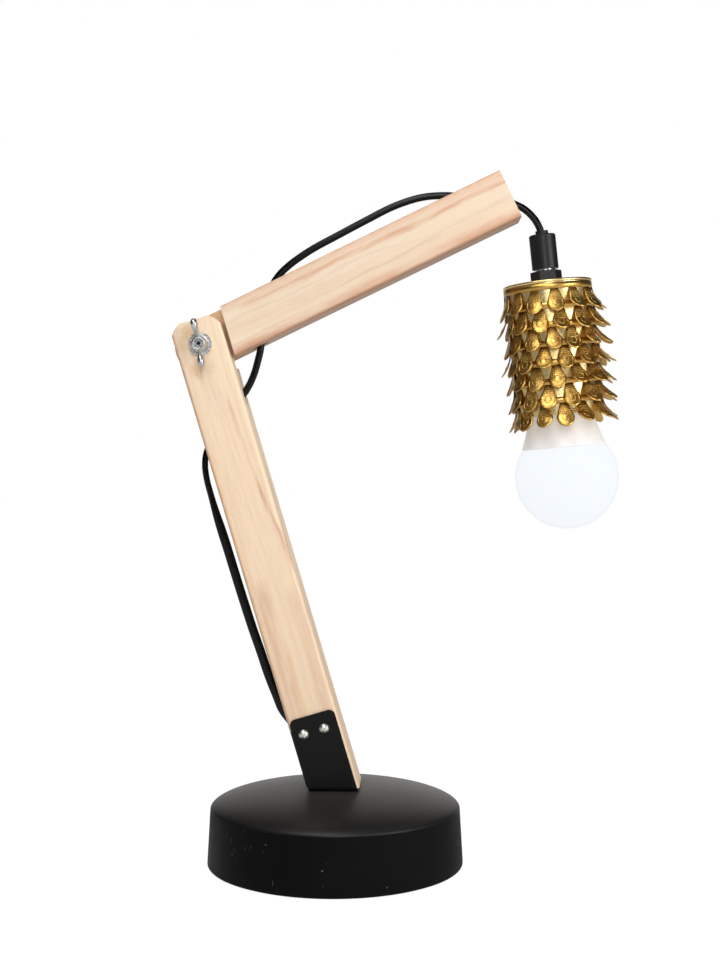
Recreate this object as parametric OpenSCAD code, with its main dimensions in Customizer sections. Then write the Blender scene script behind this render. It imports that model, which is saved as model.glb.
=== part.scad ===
// Table lamp: a weighted round base, a two-piece wooden swing arm clamped by a wing nut,
// and a small petalled metal shade that hangs from its own cord at the tip of the arm.
// Millimetres. The origin is the middle of the base on the floor, +Z is up,
// +X runs under the arm towards the shade and -Y is the front.

/* [Base] */
// Radius of the base at the floor
base_r = 75; // [65:0.5:85]
// How much narrower the wall is where it meets the dome
base_draft = 1.8; // [0.5:0.1:6]
// Height of the wall below the dome
base_wall_h = 33.7; // [28:0.1:40]
// Height of the flat seat on top of the dome
base_h = 46; // [42:0.5:56]
// Radius of the flat seat under the bracket
seat_r = 22; // [21:0.5:28]
// Fullness of the dome, where 2 is an ellipse
dome_fullness = 1.6; // [1.3:0.05:2.4]
// Thickness of the base shell
shell_t = 2.5; // [1.5:0.1:4]
// Thickness of the soft pad under the base
pad_t = 3; // [2:0.1:5]
// Height of the shell's lower edge above the floor
shell_lift = 0.8; // [0.4:0.1:1.5]
// Radius of the hollow inside the weight
weight_hollow_r = 38; // [30:0.5:44]
// Thickness of the weight's top under the shell
weight_top_t = 12; // [8:0.5:14]

/* [Stem pipe] */
// Outside diameter of the hollow threaded pipe
pipe_d = 10; // [8:0.5:12]
// Bore of the pipe
pipe_bore = 7; // [5.5:0.1:8]
// Width across flats of the pipe nuts
pipe_nut_af = 15; // [14:0.5:18]
// Height of a pipe nut
pipe_nut_h = 4; // [3:0.5:6]

/* [Arms] */
// Width of both arms, seen from the front
arm_w = 29.5; // [24:0.5:36]
// Depth of both arms, front to back
arm_d = 30; // [24:0.5:36]
// Rounding of the long edges
edge_r = 2; // [1:0.1:5]
// Lean of the lower arm from upright
arm_tilt = 16.6; // [10:0.1:25]
// Length of the lower arm from the elbow to the bracket seat
lower_len = 270; // [240:1:320]
// Rise of the upper arm above level
upper_rise = 25.7; // [22:0.1:35]
// Length of the upper arm from the elbow to its end
upper_len = 198; // [180:1:230]
// Radius of the rounded ends at the elbow
elbow_r = 17; // [15:0.1:18]
// Height of the front cheek above the elbow
cheek_top = 14.6; // [12:0.1:17]
// Depth of the rear lap below the elbow
lap_drop = 18.2; // [18:0.1:28]
// Gap between the lower arm and the shoulder of the upper arm
shoulder_gap = 2.5; // [1.5:0.1:5]
// Slant of that shoulder from square
shoulder_skew = 9.1; // [0:0.1:15]
// Gap between the two laps
lap_gap = 0.3; // [0.1:0.05:1]

/* [Cord holes] */
// Diameter of the drilled cord holes
hole_d = 8; // [6.5:0.1:10]
// Rear hole of the upper arm, distance from the elbow along the top face
rear_hole_top = 52.5; // [50:0.5:60]
// Rear hole of the upper arm, distance from the elbow along the lower face
rear_hole_low = 30.3; // [28:0.1:36]
// Tip hole, distance from the arm's end along the top face
tip_hole_back = 30.6; // [28:0.1:36]
// Tip hole, distance of its mouth in the end face below the middle of the arm
tip_hole_low = 3.8; // [1:0.1:5]
// Hole of the lower arm, distance below the elbow on the right face
elbow_hole_right = 35.4; // [33:0.1:40]
// Hole of the lower arm, distance below the elbow on the left face
elbow_hole_left = 57.8; // [54:0.1:64]
// Foot hole of the lower arm, height of its mouth above the bracket seat
foot_hole_h = 39; // [34:0.5:44]

/* [Elbow bolt] */
// Diameter of the elbow bolt
bolt_d = 5; // [4:0.5:6]
// Outside diameter of the washers
washer_d = 13.4; // [11:0.1:16]
// Thickness of the washers
washer_t = 1.2; // [0.8:0.1:2]
// Height of the bolt head
bolt_head_h = 3.5; // [3:0.1:5]
// Width across flats of the bolt head
bolt_head_af = 8; // [7:0.5:10]
// Span over both wings of the wing nut
wing_span = 28; // [24:0.5:34]
// Height of the wing nut's hub
wing_hub_h = 7; // [6:0.5:9]
// Diameter of the wing nut's hub where it meets the washer
wing_hub_d = 10.4; // [9:0.1:11]
// Thickness of a wing
wing_t = 2.4; // [1.8:0.1:3.2]
// Lean of the wings from upright
wing_lean = 10.5; // [0:0.5:90]

/* [Bracket] */
// Thickness of the bracket's sheet steel
bracket_t = 2; // [1.5:0.1:3]
// Width of the bracket across the arm
bracket_w = 27; // [22:0.5:28]
// Height of the cheeks along the arm, from the seat
bracket_h = 46.5; // [44:0.5:60]
// Rounding of the cheeks' upper corners
bracket_corner_r = 3.5; // [2:0.1:6]
// Outside radius of the two bends
bracket_bend_r = 3; // [2.5:0.1:5]
// Distance between the two screws in a cheek
screw_pitch = 12.4; // [10:0.1:14]
// Distance of the screws below the cheek's upper edge
screw_drop = 9.6; // [7:0.1:14]
// Shank diameter of the wood screws
screw_d = 3.2; // [2.5:0.1:4]
// Head diameter of the wood screws
screw_head_d = 6; // [5:0.1:7]
// Length of a wood screw under its head
screw_len = 13; // [10:0.5:14]

/* [Shade] */
// Outside radius of the shade's cup
cup_r = 25; // [23:0.1:28]
// Height of the cup
cup_h = 76.7; // [76:0.1:90]
// Wall of the cup
cup_t = 1; // [0.6:0.1:1.5]
// Radius of the rolled rim
rim_roll_r = 0.9; // [0.5:0.05:1.2]
// Number of petal rings
ring_count = 7; // [7:1:7]
// Distance of the first ring below the rim
ring_first = 2.2; // [2:0.1:3]
// Height of the band that carries the petals
band_h = 3.5; // [2.5:0.1:4.5]
// Thickness of the petal sheet
petal_t = 0.6; // [0.5:0.05:0.9]
// Number of petals in a ring
petal_count = 14; // [12:1:16]
// Length of a petal below its band
petal_len = 12.8; // [11:0.1:14]
// Width of a petal at its band
petal_neck_w = 4.6; // [3:0.1:6]
// Width of a petal at its round end
petal_w = 8.8; // [7:0.1:9.4]
// How far the tip of a petal stands out from the cup
petal_flare = 7; // [4:0.1:9]
// Height of the round boss pressed into a petal
boss_h = 0.6; // [0.3:0.1:1]
// Turn of the first ring from the front
ring_turn = -3; // [-11:0.5:11]

/* [Head] */
// Lean of the hanging head from upright
head_tilt = 6; // [0:0.1:10]
// Distance of the shade's top from the arm's end, sideways
head_out = 20.45; // [18:0.05:26]
// Distance of the shade's top below the cord's mouth in the arm
head_drop = 46.7; // [44:0.1:60]
// Diameter of the cord grip
grip_d = 15.4; // [13:0.1:17]
// Height of the cord grip
grip_h = 20; // [17:0.1:24]
// Width across flats of the lock nut on the shade
lock_nut_af = 16; // [14:0.5:18]
// Height of the lock nut
lock_nut_h = 7; // [5:0.1:8]
// Gap between the lock nut and the cord grip
grip_gap = 1.2; // [0.8:0.1:2]
// Outside diameter of the nipple that joins grip, shade and lampholder
nipple_d = 10; // [9:0.1:11]
// Outside radius of the lampholder
holder_r = 19.5; // [18.5:0.1:21]
// Length of the lampholder
holder_h = 55; // [50:0.5:58]

/* [Bulb] */
// Radius of the bulb's globe
globe_r = 30; // [28:0.1:32.5]
// Height of the globe's joint above the middle of the globe
globe_joint = 17.7; // [15:0.1:20]
// Distance from the middle of the globe up to the screw cap
bulb_neck_h = 56; // [54:0.5:60]
// Radius of the neck at its narrow upper end
neck_r = 14.2; // [13.8:0.1:15]
// Diameter of the screw cap over its threads
cap_d = 26.2; // [26:0.1:26.5]
// Length of the screw cap
cap_h = 20; // [18:0.5:22]

/* [Cord] */
// Diameter of the cord
cord_d = 4.2; // [3.8:0.1:4.4]
// Direction in which the lead leaves the base, from straight back towards +X
exit_turn = 42; // [30:1:50]
// Height of the lead where it leaves the base
exit_h = 9; // [8:0.5:11]
// Length of the tapered strain relief outside the base
relief_len = 24; // [20:1:30]
// Turns of lead in the coil
coil_turns = 8.75; // [8.75:1:8.75]
// Layers in the coil
coil_layers = 4; // [4:1:4]
// Radius of the coil at the middle of its turns
coil_r = 23; // [22.5:0.1:23.5]
// Thickness of the strap around the coil
tie_t = 0.9; // [0.6:0.1:1.1]
// Width of the strap around the coil
tie_w = 10; // [8:0.5:12]
// Place of the tie round the coil, as an angle
tie_turn = 235; // [200:5:270]

/* [Switch and plug] */
// Length of the in-line switch between its cord mouths
switch_l = 50; // [46:0.5:54]
// Width of the switch
switch_w = 20; // [18:0.5:22]
// Height of the switch
switch_h = 14.5; // [13.5:0.1:16]
// Wall of the switch
switch_t = 1.8; // [1.4:0.1:2.2]
// Length of the rocker
rocker_l = 18; // [15:0.5:20]
// Width of the rocker
rocker_w = 8; // [7:0.5:9]
// Diameter of the rocker's trunnions
rocker_pin_d = 2.6; // [2:0.1:3]
// Tilt of the rocker to either side
rocker_tilt = 6; // [3:0.5:7]
// Width of the plug
plug_w = 27; // [25:0.5:30]
// Height of the plug
plug_h = 13.7; // [12:0.1:15]
// Length of the plug's body
plug_l = 34; // [30:0.5:38]
// Length of the plug's pins
pin_l = 19; // [18:0.1:20]
// Diameter of the plug's pins
pin_d = 4; // [3.8:0.1:4.2]
// Distance between the pins
pin_pitch = 19; // [18:0.1:20]

/* [Fits] */
// Radial clearance of turning fits
run_fit = 0.06; // [0.03:0.01:0.1]
// Radial clearance of fixed fits
fixed_fit = 0.05; // [0.02:0.01:0.2]
// Gap between faces that slide past each other
slide_gap = 0.3; // [0.2:0.05:0.5]

/* [Hidden] */
$fn = 64;
ring_nodes = [for (i = [1 : ring_count]) str("petal_ring_", i)];

far = 400;
wood = [0.90, 0.80, 0.67];
black = [0.07, 0.07, 0.07];
iron = [0.30, 0.30, 0.31];
zinc = [0.74, 0.75, 0.76];
brass = [0.72, 0.56, 0.24];
white = [0.96, 0.96, 0.94];

rim_r = base_r - base_draft;
dome_rise = (base_h - base_wall_h) / sqrt(1 - pow(seat_r / rim_r, dome_fullness));
inner_rise = (base_h - base_wall_h) / sqrt(1 - pow(seat_r / (rim_r - shell_t), dome_fullness));
pipe_hole_r = pipe_d / 2 + fixed_fit;
inner_top = base_h - shell_t;
weight_r = rim_r - shell_t - 3.7;
weight_wall_h = base_wall_h - 9;
weight_dome_r = weight_r * 0.7;
weight_top = inner_top - 6.5;
weight_boss_r = seat_r - 2;
weight_under = inner_top - weight_top_t;

elbow = [-lower_len * sin(arm_tilt), base_h + lower_len * cos(arm_tilt)];
foot_z = base_h + bracket_t;
bore_r = bolt_d / 2 + run_fit;
shoulder_x = arm_w / 2 + shoulder_gap;

tip_mouth = elbow + upper_len * [cos(upper_rise), sin(upper_rise)]
    - tip_hole_low * [-sin(upper_rise), cos(upper_rise)];
head = tip_mouth + [head_out, -head_drop];
ring_pitch = (cup_h - ring_first + 1.1) / ring_count;
grip_z = lock_nut_h + grip_gap;
grip_collar_d = 7.4;
grip_collar_h = 2.3;
grip_mouth_h = 6;
grip_screw_r = 2;
grip_screw_z = grip_z + grip_h - 6;
nipple_top = grip_z + 6;
nipple_low = -9;
holder_top = -cup_t;
holder_low = holder_top - holder_h;
holder_t = 2.2;
holder_dome_h = 13;
core_r = holder_r - holder_t - fixed_fit;
core_top = holder_top - holder_dome_h;
sleeve_r = cap_d / 2 + slide_gap;
sleeve_t = 0.8;
globe_z = holder_low - 1.3 - bulb_neck_h;
cap_low = globe_z + bulb_neck_h;
cap_top = cap_low + cap_h;
tip_h = 5;
tip_r = 4.8;

wall_out = base_r - base_draft * exit_h / base_wall_h;
relief_d = 9;
relief_flange_t = 2;
relief_in = wall_out - shell_t - relief_flange_t - 0.8;
exit_dir = [sin(exit_turn), cos(exit_turn)];
exit_end = (wall_out + relief_len) * exit_dir;
coil_pitch = cord_d + 0.55;
coil_z = tie_t + 0.4 + cord_d / 2;
coil_mid = [-44, 100];
turns_layer = coil_turns / coil_layers;
coil_out = coil_r + turns_layer * coil_pitch / 2;
coil_in = coil_r - turns_layer * coil_pitch / 2;
coil_start_a = 90;
switch_mid = [24, 106.5];
switch_z = 7;
rocker_z = switch_h - switch_t - rocker_pin_d / 2 + 1.2;
plug_at = [6, 134];
plug_relief_l = 12;

// Route of the cord, from the grip up to the arm, along it and down to the base
head_route = [[119.22, 0, 372.04], [116.18, 0, 377.64], [111.8, 0, 382.26], [108.29, 0, 384.702],
    [106.751, 0, 385.416], [105.3, 0, 386.09]];
upper_route = [[105.3, 0, 386.09], [104.1, 0, 386.647], [102.93, 0, 387.19], [100.3, 0, 388.2], [97, 0, 388.95], [92, 0, 389.5],
    [84, 0, 390], [75, 0, 390.7], [66, 0, 391.6], [51, 0, 390.7], [35, 0, 385.8], [18, 0, 377.4], [2, 0, 369],
    [-14.5, 0, 360.1], [-27, 0, 351.4], [-33, 0, 345.5], [-36.8, 0, 339.5], [-38.9, 0, 331],
    [-40.9, 0, 320.5], [-42.3, 0, 312], [-43.2, 0, 306]];
elbow_route = [[-43.2, 0, 306], [-43.95, 0, 301], [-45.2, 0, 296], [-47, 0, 289.5], [-49.6, 0, 283],
    [-53, 0, 277]];
lower_route = [[-53, 0, 277], [-56, 0, 271.706], [-64, 0, 260.5], [-70.3, 0, 251.5], [-75, 0, 244],
    [-76.5, 0, 236], [-75.6, 0, 227], [-73, 0, 217], [-70, 0, 206.5], [-63.8, 0, 187], [-55.8, 0, 161],
    [-48.6, 0, 138.6], [-44.2, 0, 126], [-38.8, 0, 110], [-34.2, 0, 98.5], [-31.4, 0, 91.5],
    [-28.4, 0, 87.2], [-25, 0, 83.2], [-19.5, 0, 77.5], [-10.8, 0, 68.6], [-2.8, 0, 60.2],
    [-0.4, 0, 53], [0, 0, 46], [0, 0, 29]];
under_route = [[0, 0, 29], [1.5, 1.7, 20], [6.7, 7.4, 12.5], [16, 17.8, 9.3], [30, 33.3, 9]];
near_route = [[71, 80.5, 7.6], [73, 88, 6], [70, 97, 5], [62.5, 104, 5.5]];
far_route = [[-9, 108, 5.8], [-14, 112, 4.8], [-18.5, 118.5, 4.2], [-23.5, 124.5, 3.8], [-30, 127.8, 3.5]];
tail_route = [[-15.6, 112, 17], [-14.6, 118, 15], [-11.5, 125, 12], [-6.5, 130.3, 9.4], [-1, 133, 7.6]];

function unit(v) = v / norm(v);
function heading(p, i) =
    i == 0 ? unit(p[1] - p[0]) :
    i == len(p) - 1 ? unit(p[i] - p[i - 1]) :
    unit(unit(p[i + 1] - p[i]) + unit(p[i] - p[i - 1]));
function dome_z(r, rim, low, rise) = low + rise * sqrt(max(0, 1 - pow(r / rim, dome_fullness)));
function dome_line(rim, low, rise, seat, n = 10) =
    [for (i = [0 : n]) let (r = seat + (rim - seat) * cos(90 * i / n)) [r, dome_z(r, rim, low, rise)]];
function smooth(t) = t <= 0 ? 0 : t >= 1 ? 1 : t * t * (3 - 2 * t);

// One closed tube along a list of points, with rings square to the path
module tube(path, d, sides, up) {
    count = len(path);
    ring = [for (i = [0 : count - 1])
        let (t = heading(path, i), s = unit(cross(t, up)), u = cross(s, t))
        for (k = [0 : sides - 1])
            path[i] + d / 2 * (cos(360 * k / sides) * s + sin(360 * k / sides) * u)];
    walls = [for (i = [0 : count - 2], k = [0 : sides - 1])
        let (a = i * sides + k, b = i * sides + (k + 1) % sides)
        each [[a, b, b + sides], [a, b + sides, a + sides]]];
    last = (count - 1) * sides;
    ends = [for (k = [1 : sides - 2]) each [[0, k + 1, k], [last, last + k, last + k + 1]]];
    polyhedron(points = ring, faces = concat(walls, ends), convexity = 10);
}

module cord(path, up = [0, 1, 0]) {
    color(black) tube(path, cord_d, 10, up);
}

// A straight drilled hole between two points of the X-Z plane
module drill(a, b, d, past) {
    v = b - a;
    translate([a.x, 0, a.y]) rotate([0, atan2(v.x, v.y), 0])
        translate([0, 0, -past]) cylinder(d = d, h = norm(v) + 2 * past);
}

module at_lower() {
    translate([elbow.x, 0, elbow.y]) rotate([0, -arm_tilt, 0]) children();
}

module at_upper() {
    translate([elbow.x, 0, elbow.y]) rotate([0, -upper_rise, 0]) children();
}

module at_head() {
    translate([head.x, 0, head.y]) rotate([0, -head_tilt, 0]) children();
}

module at_exit() {
    rotate([0, 0, -exit_turn]) translate([0, 0, exit_h]) rotate([-90, 0, 0]) children();
}

module tube_ring(r_out, r_in, h) {
    difference() {
        cylinder(r = r_out, h = h);
        translate([0, 0, -1]) cylinder(r = r_in, h = h + 2);
    }
}

module hex_nut(af, h, r_in) {
    difference() {
        cylinder(d = af / cos(30), h = h, $fn = 6);
        translate([0, 0, -1]) cylinder(r = r_in, h = h + 2);
    }
}

// A rectangle with round corners, centred
module round_rect(w, d, r) {
    square([w - 2 * r, d], center = true);
    square([w, d - 2 * r], center = true);
    for (x = [-1, 1], y = [-1, 1]) translate([x * (w / 2 - r), y * (d / 2 - r)]) circle(r);
}

// An outline of the X-Z plane, made thick along Y
module slab(depth) {
    rotate([90, 0, 0]) linear_extrude(depth, center = true) children();
}

// Base
module base_shell() {
    outer = dome_line(rim_r, base_wall_h, dome_rise, seat_r);
    inner = dome_line(rim_r - shell_t, base_wall_h - shell_t, inner_rise, seat_r);
    wall_low = [[base_r - shell_t, shell_lift], [base_r - 0.8, shell_lift], [base_r, shell_lift + 0.8]];
    top = [[pipe_hole_r, base_h], [pipe_hole_r, inner_top]];
    color(black) difference() {
        rotate_extrude()
            polygon(concat(wall_low, outer, top, [for (i = [len(inner) - 1 : -1 : 0]) inner[i]]));
        at_exit() cylinder(d = relief_d + 2 * fixed_fit, h = far);
    }
}

module base_weight() {
    channel_w = 12;
    channel_h = 14;
    color(iron) difference() {
        rotate_extrude() polygon([
            [weight_hollow_r, pad_t], [weight_r, pad_t], [weight_r, weight_wall_h],
            [weight_dome_r, weight_top], [weight_boss_r, weight_top], [weight_boss_r, inner_top],
            [pipe_hole_r, inner_top], [pipe_hole_r, weight_under], [weight_hollow_r, weight_under]]);
        rotate([0, 0, -exit_turn])
            translate([-channel_w / 2, 0, pad_t - 1]) cube([channel_w, far, channel_h + 1]);
    }
}

module base_pad() {
    color(black) cylinder(r = base_r - shell_t - 0.9, h = pad_t);
}

module stem_pipe() {
    low = weight_under - washer_t - pipe_nut_h - 1;
    top = foot_z + pipe_nut_h + 2;
    color(zinc) translate([0, 0, low]) tube_ring(pipe_d / 2, pipe_bore / 2, top - low);
}

module pipe_nuts() {
    nut_low = weight_under - washer_t - pipe_nut_h;
    color(zinc) {
        translate([0, 0, foot_z]) hex_nut(pipe_nut_af, pipe_nut_h, pipe_hole_r);
        translate([0, 0, weight_under - washer_t]) tube_ring(pipe_nut_af * 0.75, pipe_hole_r, washer_t);
        translate([0, 0, nut_low]) hex_nut(pipe_nut_af, pipe_nut_h, pipe_hole_r);
    }
}

// Bracket: one bent sheet, cut to the slant of the arm
module bracket_section() {
    half = arm_d / 2 + fixed_fit + bracket_t;
    difference() {
        union() {
            translate([-half, base_h + bracket_bend_r]) square([2 * half, far]);
            translate([-half + bracket_bend_r, base_h]) square([2 * (half - bracket_bend_r), far]);
            for (s = [-1, 1])
                translate([s * (half - bracket_bend_r), base_h + bracket_bend_r]) circle(bracket_bend_r);
        }
        translate([-half + bracket_t, foot_z]) square([2 * (half - bracket_t), 2 * far]);
    }
}

module cheek_plate() {
    top = bracket_h - lower_len;
    r = bracket_corner_r;
    translate([-bracket_w / 2, top - far]) square([bracket_w, far - r]);
    translate([-bracket_w / 2 + r, top - far]) square([bracket_w - 2 * r, far]);
    for (s = [-1, 1]) translate([s * (bracket_w / 2 - r), top - r]) circle(r);
}

// Places for the four wood screws, pointing out of the front and rear cheeks
module at_screws() {
    face = arm_d / 2 + fixed_fit + bracket_t;
    at_lower() for (side = [0, 180], s = [-0.5, 0.5])
        translate([s * screw_pitch - 1, 0, bracket_h - lower_len - screw_drop])
            rotate([90, 0, side]) translate([0, 0, face]) children();
}

module bracket() {
    color(black) difference() {
        intersection() {
            rotate([90, 0, 90]) linear_extrude(far, center = true) bracket_section();
            at_lower() slab(far) cheek_plate();
        }
        cylinder(r = pipe_hole_r, h = far);
        at_screws() translate([0, 0, -bracket_t - 1]) cylinder(d = screw_d + 2 * fixed_fit, h = bracket_t + 2);
    }
}

module screw_head(d, h) {
    rise = (d * d / 4 + h * h) / (2 * h);
    intersection() {
        translate([0, 0, h - rise]) sphere(rise);
        cylinder(d = d, h = h);
    }
}

module arm_screws() {
    slot_w = 0.8;
    slot_l = screw_head_d * 0.6;
    head_h = 2;
    color(zinc) at_screws() {
        difference() {
            screw_head(screw_head_d, head_h);
            for (a = [0, 90]) rotate([0, 0, a + 20])
                translate([-slot_l / 2, -slot_w / 2, head_h / 2]) cube([slot_l, slot_w, head_h]);
        }
        translate([0, 0, -screw_len]) cylinder(d = screw_d, h = screw_len + 0.5);
    }
}

// Arms
module cheek_outline() {
    intersection() {
        union() {
            circle(elbow_r);
            translate([-arm_w / 2, -far]) square([arm_w, far]);
        }
        translate([-arm_w / 2, -far]) square([arm_w, far + cheek_top]);
    }
}

module lower_arm() {
    nut_pocket_d = pipe_nut_af / cos(30) + 2;
    nut_pocket_h = pipe_nut_h + 4;
    foot_mouth_z = base_h + foot_hole_h;
    foot_mouth_x = -(foot_hole_h * tan(arm_tilt) + arm_w / 2 / cos(arm_tilt));
    color(wood) difference() {
        at_lower() difference() {
            intersection() {
                translate([0, 0, -lower_len - arm_w])
                    linear_extrude(lower_len + 2 * arm_w) round_rect(arm_w, arm_d, edge_r);
                slab(2 * arm_d) cheek_outline();
            }
            translate([-arm_w, -lap_gap / 2, -lap_drop]) cube([2 * arm_w, arm_d, lap_drop + 2 * arm_w]);
            rotate([90, 0, 0]) cylinder(r = bore_r, h = far, center = true);
            drill([arm_w / 2, -elbow_hole_right], [-arm_w / 2, -elbow_hole_left], hole_d, 15);
        }
        translate([-far / 2, -far / 2, foot_z - far]) cube(far);
        cylinder(d = nut_pocket_d, h = foot_z + nut_pocket_h);
        drill([foot_mouth_x, foot_mouth_z], [0, foot_z + nut_pocket_h], hole_d, 12);
        at_screws() translate([0, 0, -screw_len - 1]) cylinder(d = screw_d + 2 * fixed_fit, h = screw_len + 1);
    }
}

module tongue_outline() {
    circle(elbow_r);
    translate([0, -arm_w / 2]) square([upper_len, arm_w]);
}

module upper_arm() {
    color(wood) at_upper() difference() {
        intersection() {
            rotate([90, 0, 90]) translate([0, 0, -elbow_r])
                linear_extrude(upper_len + elbow_r) round_rect(arm_d, arm_w, edge_r);
            slab(2 * arm_d) tongue_outline();
        }
        rotate([0, shoulder_skew, 0]) translate([-2 * arm_w, -arm_d, -2 * arm_w])
            cube([2 * arm_w + shoulder_x, arm_d + lap_gap / 2, 4 * arm_w]);
        rotate([90, 0, 0]) cylinder(r = bore_r, h = far, center = true);
        drill([rear_hole_top, arm_w / 2], [rear_hole_low, -arm_w / 2], hole_d, 15);
        drill([upper_len - tip_hole_back, arm_w / 2], [upper_len, -tip_hole_low], hole_d, 15);
    }
}

// Elbow bolt, with its head behind the arms and the wing nut in front
module elbow_bolt() {
    back = arm_d / 2 + washer_t + slide_gap;
    front = arm_d / 2 + washer_t + wing_hub_h - 1.5;
    color(zinc) translate([elbow.x, back, elbow.y]) rotate([90, 0, 0]) {
        cylinder(d = bolt_d, h = back + front);
        translate([0, 0, -bolt_head_h]) cylinder(d = bolt_head_af / cos(30), h = bolt_head_h, $fn = 6);
    }
}

module elbow_washers() {
    color(zinc) for (y = [-arm_d / 2, arm_d / 2 + slide_gap + washer_t])
        translate([elbow.x, y, elbow.y]) rotate([90, 0, 0])
            tube_ring(washer_d / 2, bolt_d / 2 + run_fit, washer_t);
}

module wing_nut() {
    ear_r = 4.4;
    ear_x = wing_span / 2 - ear_r;
    ear_z = wing_hub_h + 1;
    color(zinc) translate([elbow.x, -arm_d / 2 - washer_t - slide_gap, elbow.y])
        rotate([90, 0, 0]) rotate([0, 0, 90 + wing_lean]) difference() {
            union() {
                cylinder(d1 = wing_hub_d, d2 = wing_hub_d - 2, h = wing_hub_h);
                for (a = [0, 180]) rotate([0, 0, a]) slab(wing_t) {
                    polygon([[0, 1], [wing_hub_d / 2, 1], [ear_x + ear_r * 0.8, ear_z - ear_r * 0.6],
                        [ear_x, ear_z + ear_r], [ear_x - ear_r * 0.6, ear_z + ear_r * 0.8],
                        [wing_hub_d / 2 - 1, wing_hub_h - 1], [0, wing_hub_h - 1]]);
                    translate([ear_x, ear_z]) circle(ear_r);
                }
                for (a = [0, 180]) rotate([0, 0, a]) slab(wing_t + 1)
                    translate([ear_x + 0.6, ear_z + 0.3]) circle(ear_r - 1.2);
            }
            translate([0, 0, -1]) cylinder(r = bore_r, h = far);
        }
}

// Head: cord grip, lock nut, nipple, shade, lampholder and bulb on one leaning axis
module cord_grip() {
    cord_bore_r = cord_d / 2 + fixed_fit;
    mouth_r = grip_collar_d / 2 - 0.7;
    mouth_z = grip_z + grip_h + grip_collar_h - grip_mouth_h;
    color(black) at_head() difference() {
        union() {
            translate([0, 0, grip_z]) cylinder(d = grip_d, h = grip_h - 0.6);
            translate([0, 0, grip_z + grip_h - 0.6]) cylinder(d1 = grip_d, d2 = grip_d - 1.2, h = 0.6);
            translate([0, 0, grip_z + grip_h]) cylinder(d = grip_collar_d, h = grip_collar_h);
        }
        translate([0, 0, grip_z - 1]) cylinder(r = cord_bore_r, h = far);
        translate([0, 0, mouth_z]) cylinder(r1 = cord_bore_r, r2 = mouth_r, h = grip_mouth_h);
        translate([0, 0, mouth_z + grip_mouth_h]) cylinder(r = mouth_r, h = 1);
        translate([0, 0, grip_z - 1]) cylinder(r = nipple_d / 2 + fixed_fit, h = nipple_top - grip_z + 1.2);
        translate([0, 0, grip_screw_z]) rotate([-90, 0, 0]) cylinder(r = grip_screw_r + fixed_fit, h = far);
    }
}

module grip_screw() {
    screw_from = cord_d / 2 + 0.3;
    color(black) at_head() translate([0, 0, grip_screw_z]) rotate([-90, 0, 0]) difference() {
        translate([0, 0, screw_from]) cylinder(r = grip_screw_r, h = grip_d / 2 - screw_from - 0.3);
        translate([-grip_screw_r, -0.4, grip_d / 2 - 1.3]) cube([2 * grip_screw_r, 0.8, 2]);
    }
}

module lock_nut() {
    color(black) at_head() hex_nut(lock_nut_af, lock_nut_h, nipple_d / 2 + fixed_fit);
}

module nipple() {
    color(zinc) at_head() translate([0, 0, nipple_low])
        tube_ring(nipple_d / 2, cord_d / 2 + 1, nipple_top - nipple_low);
}

module shade_cup() {
    hole_r = nipple_d / 2 + fixed_fit;
    color(brass) at_head() rotate_extrude() {
        polygon([[hole_r, 0], [cup_r - 0.5, 0], [cup_r, -0.5], [cup_r, -cup_h], [cup_r - cup_t, -cup_h],
            [cup_r - cup_t, -cup_t], [hole_r, -cup_t]]);
        translate([cup_r - 0.2, -rim_roll_r]) circle(rim_roll_r);
    }
}

// A petal's distance from the axis, at a given drop below its band
function petal_r(drop) = cup_r + fixed_fit + petal_flare * pow(max(0, drop) / petal_len, 1.6);
function petal_slope(drop) = atan(1.6 * petal_flare / petal_len * pow(drop / petal_len, 0.6));

module petal_sheet() {
    steps = 7;
    drops = [for (i = [0 : steps]) petal_len * i / steps];
    inner = [for (s = drops) [petal_r(s), -s]];
    outer = [for (i = [steps : -1 : 0]) [petal_r(drops[i]) + petal_t / cos(petal_slope(drops[i])), -drops[i]]];
    rotate_extrude() polygon(concat([[petal_r(0), 0.5]], inner, outer, [[petal_r(0) + petal_t, 0.5]]));
}

module petal_outline() {
    end_r = petal_w / 2;
    neck = petal_neck_w / 2;
    translate([0, end_r - petal_len]) circle(end_r);
    polygon([[-neck, 1], [neck, 1], [end_r * 0.98, end_r * 1.2 - petal_len], [-end_r * 0.98, end_r * 1.2 - petal_len]]);
}

module petal_boss() {
    drop = petal_len - petal_w * 0.48;
    foot_r = 1.9;
    translate([0, -petal_r(drop) - petal_t * 0.5, -drop]) rotate([90 - petal_slope(drop), 0, 0])
        cylinder(r1 = foot_r, r2 = foot_r * 0.55, h = boss_h + petal_t * 0.5);
}

module petal_ring(i) {
    band_top = -ring_first - (i - 1) * ring_pitch;
    step = 360 / petal_count;
    turn = ring_turn + (i % 2 == 1 ? 0 : step / 2);
    color(brass) at_head() translate([0, 0, band_top - band_h]) rotate([0, 0, turn]) {
        tube_ring(cup_r + fixed_fit + petal_t, cup_r + fixed_fit, band_h);
        intersection() {
            petal_sheet();
            for (k = [0 : petal_count - 1]) rotate([0, 0, k * step])
                translate([0, -cup_r / 2, 0]) rotate([90, 0, 0]) linear_extrude(cup_r) petal_outline();
        }
        for (k = [0 : petal_count - 1]) rotate([0, 0, k * step]) petal_boss();
    }
}

module holder_shell() {
    hole_r = nipple_d / 2 + fixed_fit;
    inner_r = holder_r - holder_t;
    room_r = inner_r - 4;
    room_top = holder_top - 4;
    color(black) at_head() rotate_extrude() polygon([
        [hole_r, holder_top], [nipple_d / 2 + 4, holder_top], [holder_r - 2, core_top + 2],
        [holder_r, core_top - 2], [holder_r, holder_low], [inner_r, holder_low], [inner_r, core_top],
        [room_r, core_top], [room_r, core_top + 2], [hole_r + 2, room_top], [hole_r, room_top]]);
}

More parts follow.
